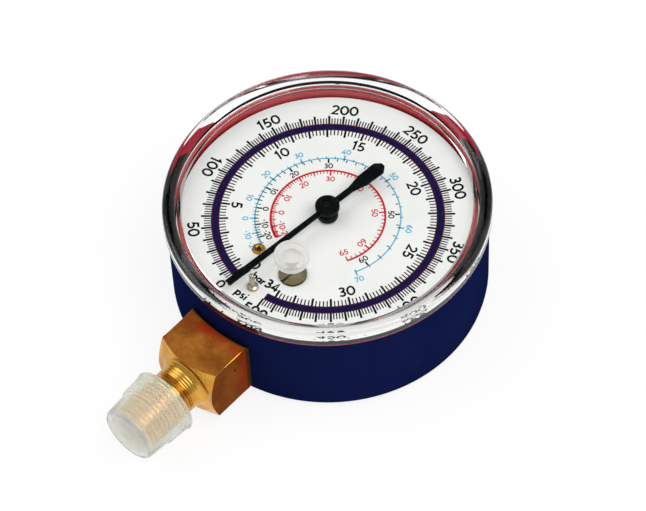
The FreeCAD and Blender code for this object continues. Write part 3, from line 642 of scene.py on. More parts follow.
def film(form, left, right, closed=False):
    """Adds a closed film between two rows of points in the dial's plane."""
    rows = []
    for level in (dial_top - ink_sunk, dial_top + ink_height):
        for side in (left, right):
            rows.append([form.verts.new(Vector((x, y, level)) * mm) for x, y in side])
    under_left, under_right, over_left, over_right = rows
    count = len(left)
    for k in range(count if closed else count - 1):
        n = (k + 1) % count
        form.faces.new((over_left[k], over_left[n], over_right[n], over_right[k]))
        form.faces.new((under_left[k], under_right[k], under_right[n], under_left[n]))
        form.faces.new((under_left[k], under_left[n], over_left[n], over_left[k]))
        form.faces.new((under_right[n], under_right[k], over_right[k], over_right[n]))
    if not closed:
        form.faces.new((under_left[0], over_left[0], over_right[0], under_right[0]))
        form.faces.new((under_left[-1], under_right[-1], over_right[-1], over_left[-1]))


def stroke(form, points, width):
    """Adds a ribbon of one width along a line of points, with mitred corners."""
    path = [Vector(p) for p in points]
    closed = (path[0] - path[-1]).length < width / 100
    if closed:
        path.pop()
    count = len(path)
    left = []
    right = []
    for k, here in enumerate(path):
        ahead = path[(k + 1) % count] - here if closed or k < count - 1 else here - path[k - 1]
        behind = here - path[k - 1] if closed or k > 0 else ahead
        normal = ahead.normalized().orthogonal() + behind.normalized().orthogonal()
        offset = normal * width / max(normal.length_squared, 0.8)
        left.append(here + offset)
        right.append(here - offset)
    film(form, left, right, closed)


def band(form, inner, outer, first, last):
    """Adds part of a ring, clockwise from one angle to another."""
    turns = [first - (first - last) * k / ring_steps for k in range(ring_steps + 1)]
    film(form, [polar(outer, t) for t in turns], [polar(inner, t) for t in turns])


def tick(form, angle, inner, outer, width):
    """Adds a radial mark."""
    stroke(form, [polar(inner, angle), polar(outer, angle)], width)


def write(form, text, radius, angle, height, inward, weight=1.0):
    """Adds a line of figures centred on a place, their tops outward or inward."""
    up = Vector(polar(-1 if inward else 1, angle))
    along = Vector((up.y, -up.x))
    middle = Vector(polar(radius, angle))
    total = sum(FIGURES[c][0] + letter_gap for c in text)
    here = -total / 2
    for character in text:
        advance, strokes = FIGURES[character]
        advance += letter_gap
        for line in strokes:
            placed = []
            for x, y in line:
                placed.append(middle + along * (here + advance / 2 + x) * height + up * (y - 0.5) * height)
            stroke(form, placed, pen * height * weight)
        here += advance


print("ink stands", ink_height, "mm above the enamel")

# %% [markdown]
# ## Pressure scales
# Two pressure scales share one navy band: pounds per square inch outside it and bar inside it. Both run
# clockwise from just left of six o'clock, almost a full turn, to 500 psi. So one function turns a
# pressure into an angle.

# %% Pressure scales
ring_unit = 23.16
zero_angle = -98.83
full_angle = -81.17
full_psi = 500
psi_per_bar = 14.5038
band_inner = 0.945
band_outer = 1.002
band_line = 0.008
minor_width = 0.25
major_width = 0.45
figures_turn = 0.1
PSI_SCALE = {
    "psi": 1.0, "step": 2.0, "steps": 250, "figures": range(50, full_psi, 50), "figure_radius": 1.162,
    "minor": (1.006, 1.07, minor_width), "major": (1.006, 1.097, major_width), "height": 0.106,
}
BAR_SCALE = {
    "psi": psi_per_bar, "step": 0.2, "steps": 170, "figures": range(5, 31, 5), "figure_radius": 0.8,
    "minor": (0.883, 0.941, minor_width), "major": (0.862, 0.941, major_width), "height": 0.1,
}


def psi_angle(psi):
    """Angle on the dial of a gauge pressure in psi, clockwise from zero."""
    return zero_angle - psi * (360 - (full_angle - zero_angle)) / full_psi


def lower(angle, level):
    """True below a level, from -1 at six o'clock to 1 at twelve, where figures have their tops inward."""
    return math.sin(math.radians(angle)) < level


def pressure_scale(form, scale):
    """Adds ticks, every fifth one longer, and figures. Radii and heights are shares of the band's radius."""
    for step in range(scale["steps"] + 1):
        near, far, width = scale["minor" if step % 5 else "major"]
        angle = psi_angle(step * scale["step"] * scale["psi"])
        tick(form, angle, near * ring_unit, far * ring_unit, width)
    for number in scale["figures"]:
        angle = psi_angle(number * scale["psi"])
        radius = scale["figure_radius"] * ring_unit
        write(form, str(number), radius, angle, scale["height"] * ring_unit, lower(angle, figures_turn))


print("100 psi at", round(psi_angle(100), 1), "degrees")

# %% [markdown]
# ## Temperature scales
# Inside lie three temperature scales for three refrigerants. Each shows the temperature at which one of
# them boils at the pressure under the pointer. Boiling pressure grows as an exponential, so a formula
# with three numbers per scale places every degree, and no table is needed. The scales carry plain
# numbers.

# %% Temperature scales
one_atmosphere = 1.013
degree_tick = 0.2
degree_height = 0.055
degrees_turn = -0.1


def vapour_formula(cold, middle, hot):
    """Numbers A, B and C of ln p = A - B / (T + C) through three points of temperature and pressure."""
    (t1, p1), (t2, p2), (t3, p3) = cold, middle, hot
    y1, y2, y3 = math.log(p1), math.log(p2), math.log(p3)
    ratio = (y2 - y1) / (y3 - y2) * (t3 - t2) / (t2 - t1)
    c = (t3 - ratio * t1) / (ratio - 1)
    b = (y2 - y1) / (1 / (t1 + c) - 1 / (t2 + c))
    return y1 + b / (t1 + c), b, c


def vapour_angle(formula, degrees):
    """Angle on the dial of a temperature in degrees Celsius."""
    a, b, c = formula
    pressure = math.exp(a - b / (degrees + c)) - one_atmosphere
    return psi_angle(pressure * psi_per_bar)


def vapour_scale(form, scale):
    """Adds one temperature scale: its circle, ticks and figures."""
    cold, hot = scale["range"]
    formula = scale["formula"]
    if scale["line"]:
        middle, width = (share * ring_unit for share in scale["line"])
        ends = (vapour_angle(formula, cold), vapour_angle(formula, hot))
        band(form, middle - width / 2, middle + width / 2, *ends)
    for degrees in range(cold, hot + 1, scale["ticks"][0][0]):
        near, far, weight = [kind[1:] for kind in scale["ticks"] if degrees % kind[0] == 0][-1]
        angle = vapour_angle(formula, degrees)
        tick(form, angle, near * ring_unit, far * ring_unit, degree_tick * weight)
    for degrees in scale["figures"]:
        angle = vapour_angle(formula, degrees)
        radius = scale["figure_radius"] * ring_unit
        write(form, str(degrees), radius, angle, degree_height * ring_unit, lower(angle, degrees_turn))


# A tick is (every so many degrees, start, end, weight), and the last kind that fits a degree is drawn.
RED_SCALE = {
    "formula": vapour_formula((-20, 2.45), (0, 5.73), (65, 30.2)), "range": (-20, 65), "line": (0.495, 0.019),
    "ticks": ((1, 0.495, 0.462, 1.0), (5, 0.495, 0.45, 1.4), (10, 0.495, 0.44, 1.8)),
    "figures": (*range(-20, 61, 10), 65), "figure_radius": 0.405,
}
BLUE_SCALE = {
    "formula": vapour_formula((-20, 2.45), (20, 9.1), (70, 29.96)), "range": (-20, 70), "line": (0.63, 0.012),
    "ticks": ((2, 0.622, 0.652, 1.0), (10, 0.61, 0.672, 1.8)),
    "figures": range(-20, 71, 10), "figure_radius": 0.712,
}
DARK_SCALE = {
    "formula": vapour_formula((-20, 3.07), (0, 6.0), (60, 28.8)), "range": (-20, 60), "line": None,
    "ticks": ((2, 0.622, 0.596, 1.0), (10, 0.622, 0.578, 1.8)),
    "figures": range(-20, 61, 10), "figure_radius": 0.546,
}
for title, scale in (("red", RED_SCALE), ("blue", BLUE_SCALE), ("black", DARK_SCALE)):
    print(title, "0 degrees at", round(vapour_angle(scale["formula"], 0), 1))

# %% [markdown]
# ## Inks
# Screen ink is nearly matt. Black here is a very dark green-grey, as the picture shows it under the
# window, and the navy band has a hair line of dark red along both edges. The zero, the ends of the scales
# and the two units stand below the hub, where the scales leave a gap. They are set in bolder strokes and
# stand upright for a reader there.

# %% Inks
label_weight = 1.15
# A label is (text, x, y, height), all but the text in shares of the band's radius.
LABELS = (
    ("0", -0.2245, -1.118, 0.09),
    ("500", 0.184, -1.131, 0.1),
    ("psi", -0.017, -1.077, 0.078),
    ("bar", -0.0135, -0.8635, 0.074),
    ("34", 0.122, -0.841, 0.095),
    ("0", -0.126, -0.782, 0.09),
)


def ink(name, colour):
    """Nearly matt ink, a little uneven."""
    material = shader(name, colour, 0.6, Specular_IOR_Level=0.08)
    paler = tuple(min(255, c + 4) for c in colour)
    paint(material, drifting(material, 0.5, 2.0, colour, paler))
    return material


def print_dark():
    """All marks in black ink."""
    form = bmesh.new()
    pressure_scale(form, PSI_SCALE)
    pressure_scale(form, BAR_SCALE)
    for text, x, y, height in LABELS:
        radius = math.hypot(x, y) * ring_unit
        write(form, text, radius, math.degrees(math.atan2(y, x)), height * ring_unit, True, label_weight)
    vapour_scale(form, DARK_SCALE)
    return finish_mesh(form, "black_print")


def print_bands(name, *shares):
    """Bands along the pressure scales, each between two shares of the band's radius."""
    form = bmesh.new()
    for inner, outer in shares:
        band(form, inner * ring_unit, outer * ring_unit, zero_angle, full_angle - 360)
    return finish_mesh(form, name)


def print_degrees(name, scale):
    """One temperature scale in its own ink."""
    form = bmesh.new()
    vapour_scale(form, scale)
    return finish_mesh(form, name)


def make_print():
    """All the print on the dial, one piece for each ink."""
    edges = ((band_inner - band_line, band_inner), (band_outer, band_outer + band_line))
    jobs = (
        (print_dark(), "black_enamel", ink("black_ink", (6, 16, 15))),
        (print_bands("navy_print", (band_inner, band_outer)), "navy_enamel", ink("navy_ink", (18, 14, 60))),
        (print_bands("dark_red_print", *edges), "red_plastic", ink("dark_red_ink", (110, 24, 48))),
        (print_degrees("red_print", RED_SCALE), "white_enamel", ink("red_ink", (214, 52, 62))),
        (print_degrees("blue_print", BLUE_SCALE), "white_enamel", ink("blue_ink", (96, 180, 214))),
    )
    return [settle(piece, "case", slot, finish) for piece, slot, finish in jobs]


dial_print = make_print()
print("print:", sum(len(piece.data.polygons) for piece in dial_print), "faces in", len(dial_print), "inks")

# %% [markdown]
# ## Pointer and hub
# The pointer is stamped and blackened, and its hub is a black boss pushed on the arbor. Both are nearly
# matt, so the only light on them is along the edges. The pointer keeps its own node. The hub is turned
# afresh with small rounds.

# %% Pointer and hub
arbor_hole = 0.86
arbor_tip_hole = 0.76
hub_bottom = 19.55
boss_radius = 2.1
boss_top = 20.9
hub_neck_radius = 1.2
hub_neck_bottom = 21.3
hub_neck_top = 22.2
hub_radius = 2.45
hub_top = 23.35


def black_enamel():
    """Nearly matt black, with a little dust in its shine."""
    material = shader("black_enamel", (4, 9, 9), 0.42, Specular_IOR_Level=0.08)
    vary(material, "Roughness", spread(material, noise(material, 0.9, 4.0), 0.36, 0.5))
    roughen(material, noise(material, 6.0, 3.0), 3.0)
    return material


def make_hub():
    """Boss under the pointer, a thinner neck, and the cap that holds the pointer."""
    return turned_piece("pointer_boss", [
        (arbor_hole, hub_bottom),
        (boss_radius, hub_bottom, 0.15),
        (boss_radius, boss_top, 0.2),
        (hub_neck_radius, hub_neck_bottom, 0.1),
        (hub_neck_radius, hub_neck_top),
        (hub_radius, hub_neck_top, 0.15),
        (hub_radius, hub_top, 0.25),
        (arbor_tip_hole, hub_top, 0.05),
        (arbor_tip_hole, hub_neck_top),
        (arbor_hole, hub_neck_top),
    ], steps=72)


black = black_enamel()
dress("pointer", black)
hub = settle(make_hub(), "pointer", "black_enamel", black, "pointer_hub")
print("hub:", len(hub.data.polygons), "faces")

# %% [markdown]
# ## Nickel and brass fittings on the dial
# A brass eyelet holds the dial at each post, a nickel pin stops the pointer, and a big slotted nickel
# screw trims it. They are small, but the eye goes to them because they shine on a matt plate. The round
# ones are turned again with real rolls and domes, and a dark disc deep in each eyelet is painted shade.
# The screw keeps its node for the slot, and painted shade darkens the slot and the head's side.

# %% Fittings
post_places = (polar(15.7, -109.0), polar(15.0, 91.5))
stop_pin_place = polar(22.35, -89.7)
pin_bottom = 17.5
pin_radius = 0.55
pin_base_radius = 1.2
pin_top = 23.55
eyelet_bore = 0.5
eyelet_shank = 0.82
eyelet_bottom = 16.95
eyelet_roll = 1.36
shade_disc_gap = 0.01
screw_edge = 19.9
slot_blur = 0.03


def metal(name, colour, roughness, dull, clouds=0.2, fine=2.5, depth=1.5):
    """Metal with drifting colour and roughness, and fine marks."""
    material = shader(name, colour, roughness, 1.0)
    paint(material, drifting(material, clouds, 4.0, dull, colour))
    gloss = spread(material, noise(material, fine, 3.0), roughness * 0.8, roughness * 1.35)
    vary(material, "Roughness", gloss)
    roughen(material, noise(material, fine * 3, 3.0), depth)
    return material


def repaint(material, share, colour):
    """Mixes one more colour into the material's own, by a share."""
    own = principled(material).inputs["Base Color"].links[0].from_socket
    paint(material, mixed(material, share, own, colour))


def darken_below(material, height, colour):
    """Painted shade in the slot and round the side of a head: one dark colour below a height."""
    level = split(material, "Object")["Z"]
    repaint(material, fade(material, level, height - slot_blur, height, 1.0, 0.0), colour)


def make_eyelets():
    """Two rolled eyelets through the dial."""
    return turned_piece("eyelet_rolls", [
        (eyelet_bore, eyelet_bottom),
        (eyelet_shank, eyelet_bottom),
        (eyelet_shank, dial_top),
        (eyelet_roll, dial_top, 0.02),
        (eyelet_roll - 0.06, dial_top + 0.3, 0.12),
        (eyelet_shank - 0.02, dial_top + 0.38, 0.15),
        (eyelet_bore, dial_top + 0.15, 0.1),
    ], post_places, steps=48)


def make_stop_pin():
    """Riveted pin with a domed base."""
    return turned_piece("stop_pin_dome", [
        (0, pin_bottom),
        (pin_radius, pin_bottom),
        (pin_radius, dial_top),
        (pin_base_radius, dial_top),
        (pin_base_radius - 0.03, dial_top + 0.42, 0.3),
        (pin_radius, dial_top + 0.78, 0.2),
        (pin_radius, pin_top, 0.4),
        (0, pin_top),
    ], (stop_pin_place,), steps=48)


def make_eyelet_cores():
    """Dark discs deep in the eyelets, painted shade in their bores."""
    return turned_piece("eyelet_shade_discs", [
        (0, dial_top - 0.3),
        (eyelet_bore - shade_disc_gap, dial_top - 0.3),
        (eyelet_bore - shade_disc_gap, dial_top + 0.05),
        (0, dial_top + 0.1),
    ], post_places, steps=32)


polish = {"clouds": 0.12, "fine": 0.5, "depth": 0.3}
nickel = metal("nickel", (206, 198, 180), 0.3, (178, 170, 150), **polish)
eyelet_brass = metal("eyelet_brass", (214, 168, 88), 0.26, (150, 106, 44))
eyelets = settle(make_eyelets(), "case", "brass", eyelet_brass, "dial_eyelets")
# Painted shade: a dark brown disc deep in each eyelet stands in for the shade in its bore.
bore_shade_brown = shader("eyelet_bore_shade", (58, 32, 14), 0.5, 0.6)
settle(make_eyelet_cores(), "case", "brass", bore_shade_brown)
stop_pin = settle(make_stop_pin(), "case", "plated_steel", nickel, "stop_pin")
screw_nickel = metal("screw_nickel", (146, 133, 96), 0.34, (118, 107, 74), **polish)
# Painted shade: the slot and the side of the screw's head are painted dark.
darken_below(screw_nickel, screw_edge, (52, 44, 30))
dress("adjusting_screw", screw_nickel)
print("eyelets:", len(eyelets.data.polygons), "faces, pin:", len(stop_pin.data.polygons))

# %% [markdown]
# ## Milky plug and cap
# The plug in the window and the cap on the thread are moulded from milky plastic, thin enough for light
# to come through. A plain glass shader would be too clear and a plain white one too chalky, so it is a
# mix. One share passes light on, blurred, so that the thread shows as a warm shade. The rest scatters it
# on both sides of the wall, and a thin coat adds the shine. The cap also has the fine ribs round its
# mouth that help fingers to grip it.

# %% Milky plastic
milk_blur = 0.06
milk_through = 0.6
plug_top = 27.0
plug_radius = 3.5
plug_shank = 2.4
plug_bore = 1.7
cap_mouth = 47.9
cap_end = 59.0
cap_bore = 5.78
cap_floor = 58.1
cap_bead = 7.15
dish_floor = 58.66
dish_boss = 58.84
cap_ribs = 120
rib_start = 48.6
rib_end = 53.5
rib_floor = 6.6
rib_depth = 0.07


def milky_plastic(name, colour, clear, lit):
    """Translucent plastic: a share passes light, blurred, the rest scatters it, and lamps shine through."""
    material = shader(name, colour, milk_blur, IOR=1.06, Transmission_Weight=1.0)
    tint = {"Color": linear(*colour)}
    front = add_node(material, "ShaderNodeBsdfDiffuse", sockets=tint)
    back = add_node(material, "ShaderNodeBsdfTranslucent", sockets=tint)
    shine = add_node(material, "ShaderNodeBsdfGlossy", sockets={"Roughness": 0.28, "Color": (1, 1, 1, 1)})
    edge = add_node(material, "ShaderNodeFresnel", sockets={"IOR": 1.15})
    scatter = blended(material, milk_through, front.outputs["BSDF"], back.outputs["BSDF"])
    wall = blended(material, clear, scatter, principled(material).outputs["BSDF"])
    coated = blended(material, edge.outputs["Fac"], wall, shine.outputs["BSDF"])
    pass_lamp_light(material, coated, lit)
    return material


def make_plug():
    """Plug with a raised lip, a dished top and a hollow shank."""
    return turned_piece("milky_plug", [
        (0, plug_top - 0.3),
        (2.75, plug_top - 0.3, 0.1),
        (2.95, plug_top, 0.08),
        (plug_radius, plug_top, 0.22),
        (plug_radius, window_top, 0.05),
        (plug_shank, window_top),
        (plug_shank, window_bottom - 0.15),
        (plug_bore, window_bottom - 0.15),
        (plug_bore, plug_top - 1.1, 0.3),
        (0, plug_top - 1.1),
    ], (plug_place,))


def make_cap():
    """Push-on cap: beaded mouth, ribbed and stepped wall, dished end with a low boss."""
    form = bmesh.new()
    turned(form, [
        (cap_bore, cap_mouth),
        (cap_bead - 0.2, cap_mouth, 0.08),
        (cap_bead, 48.15, 0.12),
        (cap_bead, 48.5, 0.12),
        (6.92, 48.62, 0.05),
        (6.64, 53.45, 0.08),
        (6.4, 53.62, 0.05),
        (5.98, 58.45, 0.35),
        (5.55, cap_end, 0.4),
        (4.75, cap_end, 0.12),
        (4.62, dish_floor, 0.1),
        (1.5, dish_floor, 0.1),
        (1.42, dish_boss, 0.06),
        (0, dish_boss),
        (0, cap_floor),
        (cap_bore, cap_floor),
    ], steps=cap_ribs * 2, on_stem=True)
    for vertex in form.verts:
        across = Vector((vertex.co.x, vertex.co.z - stem_height * mm))
        step = round(math.atan2(across.y, across.x) / math.pi * cap_ribs)
        if rib_start * mm < -vertex.co.y < rib_end * mm and across.length > rib_floor * mm and step % 2:
            across *= 1 - rib_depth * mm / across.length
            vertex.co.x = across.x
            vertex.co.z = across.y + stem_height * mm
    return finish_mesh(form, "milky_cap")


milky = milky_plastic("milky_plastic", (248, 254, 248), 0.64, 0.98)
plug_plastic = milky_plastic("plug_plastic", (255, 254, 252), 0.5, 0.97)
plug = settle(make_plug(), "plug", "milky_plastic", plug_plastic, "lens_plug")
cap = settle(make_cap(), "cap", "milky_plastic", milky, "thread_cap")
print("plug:", len(plug.data.polygons), "faces, cap:", len(cap.data.polygons), "faces")

# %% [markdown]
# ## Brass socket with a real thread
# The socket was sawn from square bar, and its neck and stem were turned on a lathe. The bar's old faces
# kept a brown patina, redder near the case where the solder heated it, and their sides are painted
# darker than their tops as shade. The turned faces are bright gold with fine rings, and the thread has a
# painted highlight on its crests and painted shade in its roots. One shader does it all: it asks each
# face which way it looks, how far along the stem it lies and how far from the stem's axis. The thread is
# cut in the stem as a helix: profile rings that climb one pitch for each turn. The bar's long triangles
# would smear light across its flat faces, so those are shaded flat, and its long edges get a hair of bevel.

# %% Socket
thread_pitch = 0.94
thread_depth = 0.55
stem_start = 48.0
stem_end = 58.0
stem_radius = 5.145
port_radius = 1.6
block_front = 42.5
crest_radius = stem_radius - 0.03
chamfer_length = 0.8
chamfer_slope = 0.6
thread_steps = 64
rows_per_turn = 10
thread_sharp = 28
edge_bevel = 0.12
weld = 1e-7
straight_edge = 0.999
straight_face = 0.9999
heat_start = 33.8
heat_end = 36.6
solder_start = 32.9
solder_end = 33.4


def brass_clouds(material):
    """Soft clouds that both the old and the turned faces have."""
    return spread(material, noise(material, 0.22, 5.0), 0.0, 1.0, 0.35, 0.65)


def bar_patina(material, sideways):
    """Colour of the old bar: brown with stains and specks, sides painted darker than tops as shade, red where
    it was heated, dark at the solder.
    """
    clouds = brass_clouds(material)
    # Painted shade: the bar's sides are a darker brown than its tops, lit and shaded copies of one patina.
    lit_tops = mixed(material, clouds, (138, 76, 28), (176, 112, 44))
    shaded_sides = mixed(material, clouds, (122, 58, 14), (148, 80, 22))
    colour = mixed(material, spread(material, sideways, 0.0, 1.0, 0.4, 0.6), lit_tops, shaded_sides)
    mottle = spread(material, noise(material, 1.3, 4.0), 0.0, 1.0, 0.3, 0.7)
    colour = mixed(material, spread(material, mottle, 0.35, 0.0, 0.0, 1.0), colour, (92, 60, 26))
    radius = axis_distance(material)
    patches = spread(material, noise(material, 0.3, 3.0), 0.15, 1.0, 0.35, 0.6)
    heat = calculated(material, "MULTIPLY", fade(material, radius, heat_start, heat_end, 1.0, 0.0), patches)
    colour = mixed(material, heat, colour, (164, 46, 22))
    solder = fade(material, radius, solder_start, solder_end, 1.0, 0.0)
    colour = mixed(material, solder, colour, (72, 56, 22))
    specks = spread(material, noise(material, 0.8, 1.0), 1.0, 0.0, 0.2, 0.26)
    return mixed(material, specks, colour, (44, 22, 12))


def beyond(material, start):
    """1 further along the stem than a place, and 0 nearer the case."""
    return fade(material, split(material, "Object")["Y"], -start - soft_edge, -start + soft_edge, 1.0, 0.0)


def turned_gold(material):
    """Colour of the turned part: soft gold, and a thread with a painted highlight on its crests and painted
    shade in its roots.
    """
    neck = mixed(material, brass_clouds(material), (196, 138, 50), (228, 174, 78))
    off_stem = axis_distance(material, (1, 0, 1), (0, 0, -stem_height * mm))
    # Painted highlight and shade: the thread is near white on its crests and darker gold in its roots.
    crest = fade(material, off_stem, stem_radius - thread_depth, stem_radius)
    highlighted_threads = mixed(material, crest, (222, 160, 84), (255, 240, 198))
    return mixed(material, beyond(material, stem_start), neck, highlighted_threads)


def turning_marks(material, share):
    """Fine rings that the lathe left, by a share."""
    place = add_node(material, "ShaderNodeTexCoord")
    look = {"Scale": 0.5 / mm, "Distortion": 0.6}
    rings = add_node(material, "ShaderNodeTexWave", wave_type="BANDS", bands_direction="Y", sockets=look)
    connect(material, place.outputs["Object"], rings.inputs["Vector"])
    roughen(material, calculated(material, "MULTIPLY", rings.outputs["Fac"], share), 40.0)


def socket_brass():
    """Brown patina on the flat bar faces, soft gold with fine rings on the turned ones."""
    material = shader("socket_brass", (214, 164, 74), 0.3, 1.0, Specular_IOR_Level=0.0)
    facing = split(material, "Normal")
    sideways = calculated(material, "ABSOLUTE", facing["X"])
    straight = calculated(material, "MAXIMUM", sideways, calculated(material, "ABSOLUTE", facing["Z"]))
    flat = spread(material, straight, 0.0, 1.0, 0.985, 0.999)
    neck = beyond(material, block_front)
    bar_face = calculated(material, "MULTIPLY", flat, calculated(material, "SUBTRACT", 1.0, neck))
    paint(material, mixed(material, bar_face, turned_gold(material), bar_patina(material, sideways)))
    vary(material, "Roughness", spread(material, bar_face, 0.24, 0.55, 0.0, 1.0))
    vary(material, "Metallic", spread(material, bar_face, 1.0, 0.2, 0.0, 1.0))
    roughen(material, noise(material, 1.8, 4.0), 8.0)
    turning_marks(material, neck)
    return material


def cut_off_stem(form):
    """Keeps the part of the socket inside the end of the neck, and closes the cut."""
    geometry = list(form.verts) + list(form.edges) + list(form.faces)
    cut = {"plane_co": Vector((0, -stem_start, 0)) * mm, "plane_no": (0, -1, 0)}
    bmesh.ops.bisect_plane(form, geom=geometry, clear_outer=True, dist=weld, **cut)
    bmesh.ops.edgeloop_fill(form, edges=[edge for edge in form.edges if edge.is_boundary])


def thread_radius(along, turn):
    """Radius of the thread at a place along the stem and a share of a turn, with its runout and chamfer."""
    phase = (along / thread_pitch + turn) % 1
    ridge = min(1.0, max(0.0, 2.4 * abs(phase - 0.5) - 0.1))
    runout = min(1.0, (along - stem_start) / thread_pitch, (stem_end - along) / thread_pitch + 0.3)
    chamfer = (along - stem_end + chamfer_length) * chamfer_slope
    return crest_radius - max(thread_depth * (1 - ridge) * runout, chamfer)


def stem_ring(form, along, radii):
    """Ring of points round the stem's axis, with a radius for each point."""
    ring = []
    for k, radius in enumerate(radii):
        angle = 2 * math.pi * k / len(radii)
        place = (radius * math.cos(angle), -along, stem_height + radius * math.sin(angle))
        ring.append(form.verts.new(Vector(place) * mm))
    return ring


def thread(form):
    """Adds the threaded stem: several rings of points for each pitch, and the port's two rings."""
    rows = int((stem_end - stem_start) / thread_pitch * rows_per_turn)
    loops = []
    for row in range(rows + 1):
        along = stem_start + (stem_end - stem_start) * row / rows
        radii = [thread_radius(along, k / thread_steps) for k in range(thread_steps)]
        loops.append(stem_ring(form, along, radii))
    for along in (stem_end, stem_start):
        loops.append(stem_ring(form, along, [port_radius] * thread_steps))
    for one, two in zip(loops, loops[1:] + loops[:1]):
        for k in range(thread_steps):
            n = (k + 1) % thread_steps
            form.faces.new((one[k], one[n], two[n], two[k]))


def looks_straight(normal):
    """True for a face of the bar that looks straight up, down or sideways."""
    return max(abs(normal.x), abs(normal.z)) > straight_edge


def break_long_edges(form):
    """Fine bevel on the bar's long edges, which catches the light."""
    form.normal_update()
    long_edges = []
    for edge in form.edges:
        along = (edge.verts[0].co - edge.verts[1].co).normalized()
        if len(edge.link_faces) == 2 and abs(along.y) > straight_edge:
            one, two = (face.normal for face in edge.link_faces)
            if abs(one.dot(two)) < 0.01 and looks_straight(one) and looks_straight(two):
                long_edges.append(edge)
    print("long edges of the bar:", len(long_edges))
    bmesh.ops.bevel(form, geom=long_edges, offset=edge_bevel * mm, segments=1, profile=0.5, affect="EDGES")


def make_socket():
    """The socket's own mesh, with a threaded stem in place of the plain one."""
    form = bmesh.new()
    form.from_mesh(nodes["socket"].data)
    bmesh.ops.remove_doubles(form, verts=form.verts, dist=weld)
    cut_off_stem(form)
    break_long_edges(form)
    thread(form)
    piece = finish_mesh(form, "threaded_socket", thread_sharp)
    for face in piece.data.polygons:
        if max(abs(c) for c in face.normal) > straight_face:
            face.use_smooth = False
    return piece


brass = socket_brass()
socket = settle(make_socket(), "case", "brass", brass, "socket")
print("socket:", len(socket.data.polygons), "faces")

# %% [markdown]
# ## The movement
# Nothing inside shows until the gauge is taken apart, but each piece still gets the finish of the real
# one: sawn brass plates, steel arbors, a bronze tube with the straw tint of soldering, and a bronze
# hairspring. The tube bends as the pressure rises; here its mesh is copied into a bronze piece of its own.

# %% Movement
paint_line = 22.0


def blacken_end(material, height):
    """Paints a material black above a height, where the pointer was painted on its arbor."""
    painted = fade(material, split(material, "Object")["Z"], height - soft_edge, height + soft_edge)
    repaint(material, painted, (7, 11, 11))
    vary(material, "Metallic", spread(material, painted, 1.0, 0.0, 0.0, 1.0))


plate_brass = metal("plate_brass", (216, 172, 92), 0.34, (178, 132, 60), 0.3)
gear_brass = metal("gear_brass", (228, 184, 100), 0.26, (196, 150, 72), 0.3)
bronze = metal("tube_bronze", (190, 128, 82), 0.32, (150, 92, 56), 0.15)
steel = metal("steel", (190, 190, 188), 0.25, (150, 150, 148))
arbor_steel = metal("arbor_steel", (190, 190, 188), 0.25, (150, 150, 148))
blacken_end(arbor_steel, paint_line)
plated = metal("plated_steel", (206, 206, 200), 0.3, (168, 166, 158))
for material, group in (
    (plate_brass, "movement_back_plate movement_front_plate movement_pillars tube_tip pinion_bush"),
    (gear_brass, "sector_gear link hairspring_collet hairspring_stud dial_posts restrictor"),
    (bronze, "hairspring"),
    (steel, "sector_arbor link_screw tip_screw"),
    (arbor_steel, "pinion_arbor"),
    (plated, "plate_screws seat_screws case_screws"),
):
    for node in group.split():
        dress(node, material)


def make_tube():
    """A bronze copy of the Bourdon tube's mesh, in place of its node."""
    piece = nodes["bourdon_tube"].copy()
    piece.data = piece.data.copy()
    piece.parent = None
    for key in list(piece.keys()):
        del piece[key]
    piece.name = "bending_tube"
    bpy.context.scene.collection.objects.link(piece)
    piece.data.materials.clear()
    piece.data.materials.append(bronze)
    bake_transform(piece)
    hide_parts("bourdon_tube")
    return piece


tube = make_tube()
print("tube:", len(tube.data.polygons), "faces")

# %% [markdown]
# ## Light, floor and background
# The picture was taken in a light tent on white. A pale world and broad soft lamps give that light. A
# dark card stands where the flat window would mirror the tent into the camera, so that the print stays
# deep. The floor is white to the camera, and darkens only where the gauge shades it, so the shadow stays.
# Metal and glass need to see the same white, so reflected and bent rays get it too.

# %% Studio
floor_size = 3.0
tent_light = 0.4
white_share = 0.84
white_glow = 1.02
gauge_middle = Vector((0, 0, 0.02))


def add_world():
    """Pale surroundings, pure white to the camera."""
    world = bpy.data.worlds.new("tent")
    bpy.context.scene.world = world
    world.use_nodes = True
    tree = world.node_tree
    pick = tree.nodes.new("ShaderNodeMixShader")
    for sky, strength, socket in (
        (tree.nodes["Background"], tent_light, pick.inputs[1]),
        (tree.nodes.new("ShaderNodeBackground"), 1.0, pick.inputs[2]),
    ):
        sky.inputs["Color"].default_value = (1, 1, 1, 1)
        sky.inputs["Strength"].default_value = strength
        tree.links.new(sky.outputs["Background"], socket)
    rays = tree.nodes.new("ShaderNodeLightPath")
    tree.links.new(rays.outputs["Is Camera Ray"], pick.inputs["Fac"])
    tree.links.new(pick.outputs["Shader"], tree.nodes["World Output"].inputs["Surface"])


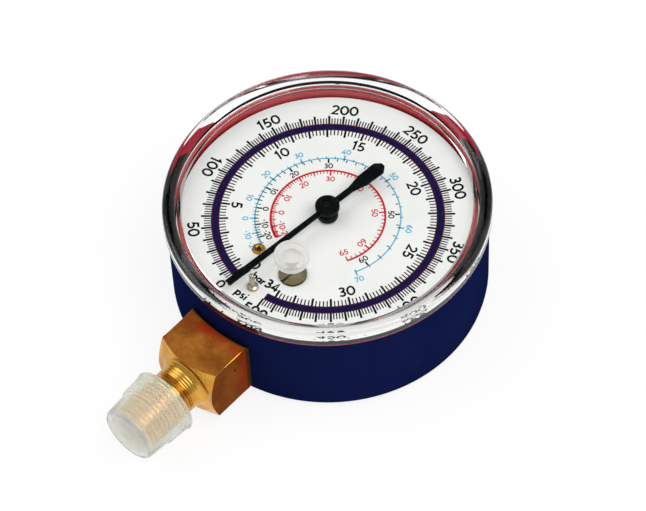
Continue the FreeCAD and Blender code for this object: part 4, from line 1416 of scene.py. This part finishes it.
def stand_facing(thing, azimuth, elevation, distance):
    """Stands a lamp or card round the gauge, facing it. Azimuth 0 is over the stem, and 90 to its right."""
    a = math.radians(azimuth)
    e = math.radians(elevation)
    back = Vector((math.sin(a) * math.cos(e), -math.cos(a) * math.cos(e), math.sin(e)))
    thing.location = gauge_middle + back * distance
    thing.rotation_euler = back.to_track_quat("Z", "Y").to_euler()


def add_lamp(name, size, power, **place):
    """Square soft lamp that faces the gauge."""
    lamp = bpy.data.lights.new(name, "AREA")
    lamp.shape = "SQUARE"
    lamp.size = size
    lamp.energy = power
    stand = bpy.data.objects.new(name, lamp)
    stand_facing(stand, **place)
    bpy.context.scene.collection.objects.link(stand)
    return stand


def floor_finish():
    """White floor that keeps a soft shadow."""
    material = shader("floor", (250, 250, 250), 0.9, Specular_IOR_Level=0.0)
    seen = any_ray(material, "Is Camera Ray", "Is Glossy Ray", "Is Transmission Ray")
    glow = add_node(material, "ShaderNodeEmission", sockets={"Color": (1, 1, 1, 1), "Strength": white_glow})
    share = calculated(material, "MULTIPLY", seen, white_share)
    put_on(material, blended(material, share, principled(material).outputs["BSDF"], glow.outputs["Emission"]))
    return material


def sheet(name, width, height, finish):
    """Flat rectangle about the origin."""
    form = bmesh.new()
    w = width / 2
    h = height / 2
    form.faces.new([form.verts.new((x, y, 0)) for x, y in ((-w, -h), (w, -h), (w, h), (-w, h))])
    piece = finish_mesh(form, name)
    piece.data.materials.append(finish)
    return piece


def add_floor():
    """Flat floor under the gauge."""
    floor = sheet("floor", floor_size, floor_size, floor_finish())
    return floor


def add_card(name, width, height, **place):
    """Dark card that the camera doesn't see, facing the gauge."""
    card = sheet(name, width, height, shader(name, (14, 16, 18), 0.9, Specular_IOR_Level=0.0))
    stand_facing(card, **place)
    card.visible_camera = False
    card.visible_diffuse = False
    card.visible_shadow = False
    return card


add_world()
opposite = camera_azimuth + 180
card = add_card("window_flag", 0.34, 0.3, azimuth=opposite, elevation=camera_elevation, distance=0.9)
key = add_lamp("key", 0.7, 5, azimuth=100, elevation=62, distance=0.9)
fill = add_lamp("fill", 0.8, 3, azimuth=-60, elevation=50, distance=1.0)
floor = add_floor()
bpy.context.scene.view_settings.view_transform = "Standard"
print(floor.name, floor_size, "m square, lamps", [lamp.name for lamp in (key, fill)], "and card", card.name)
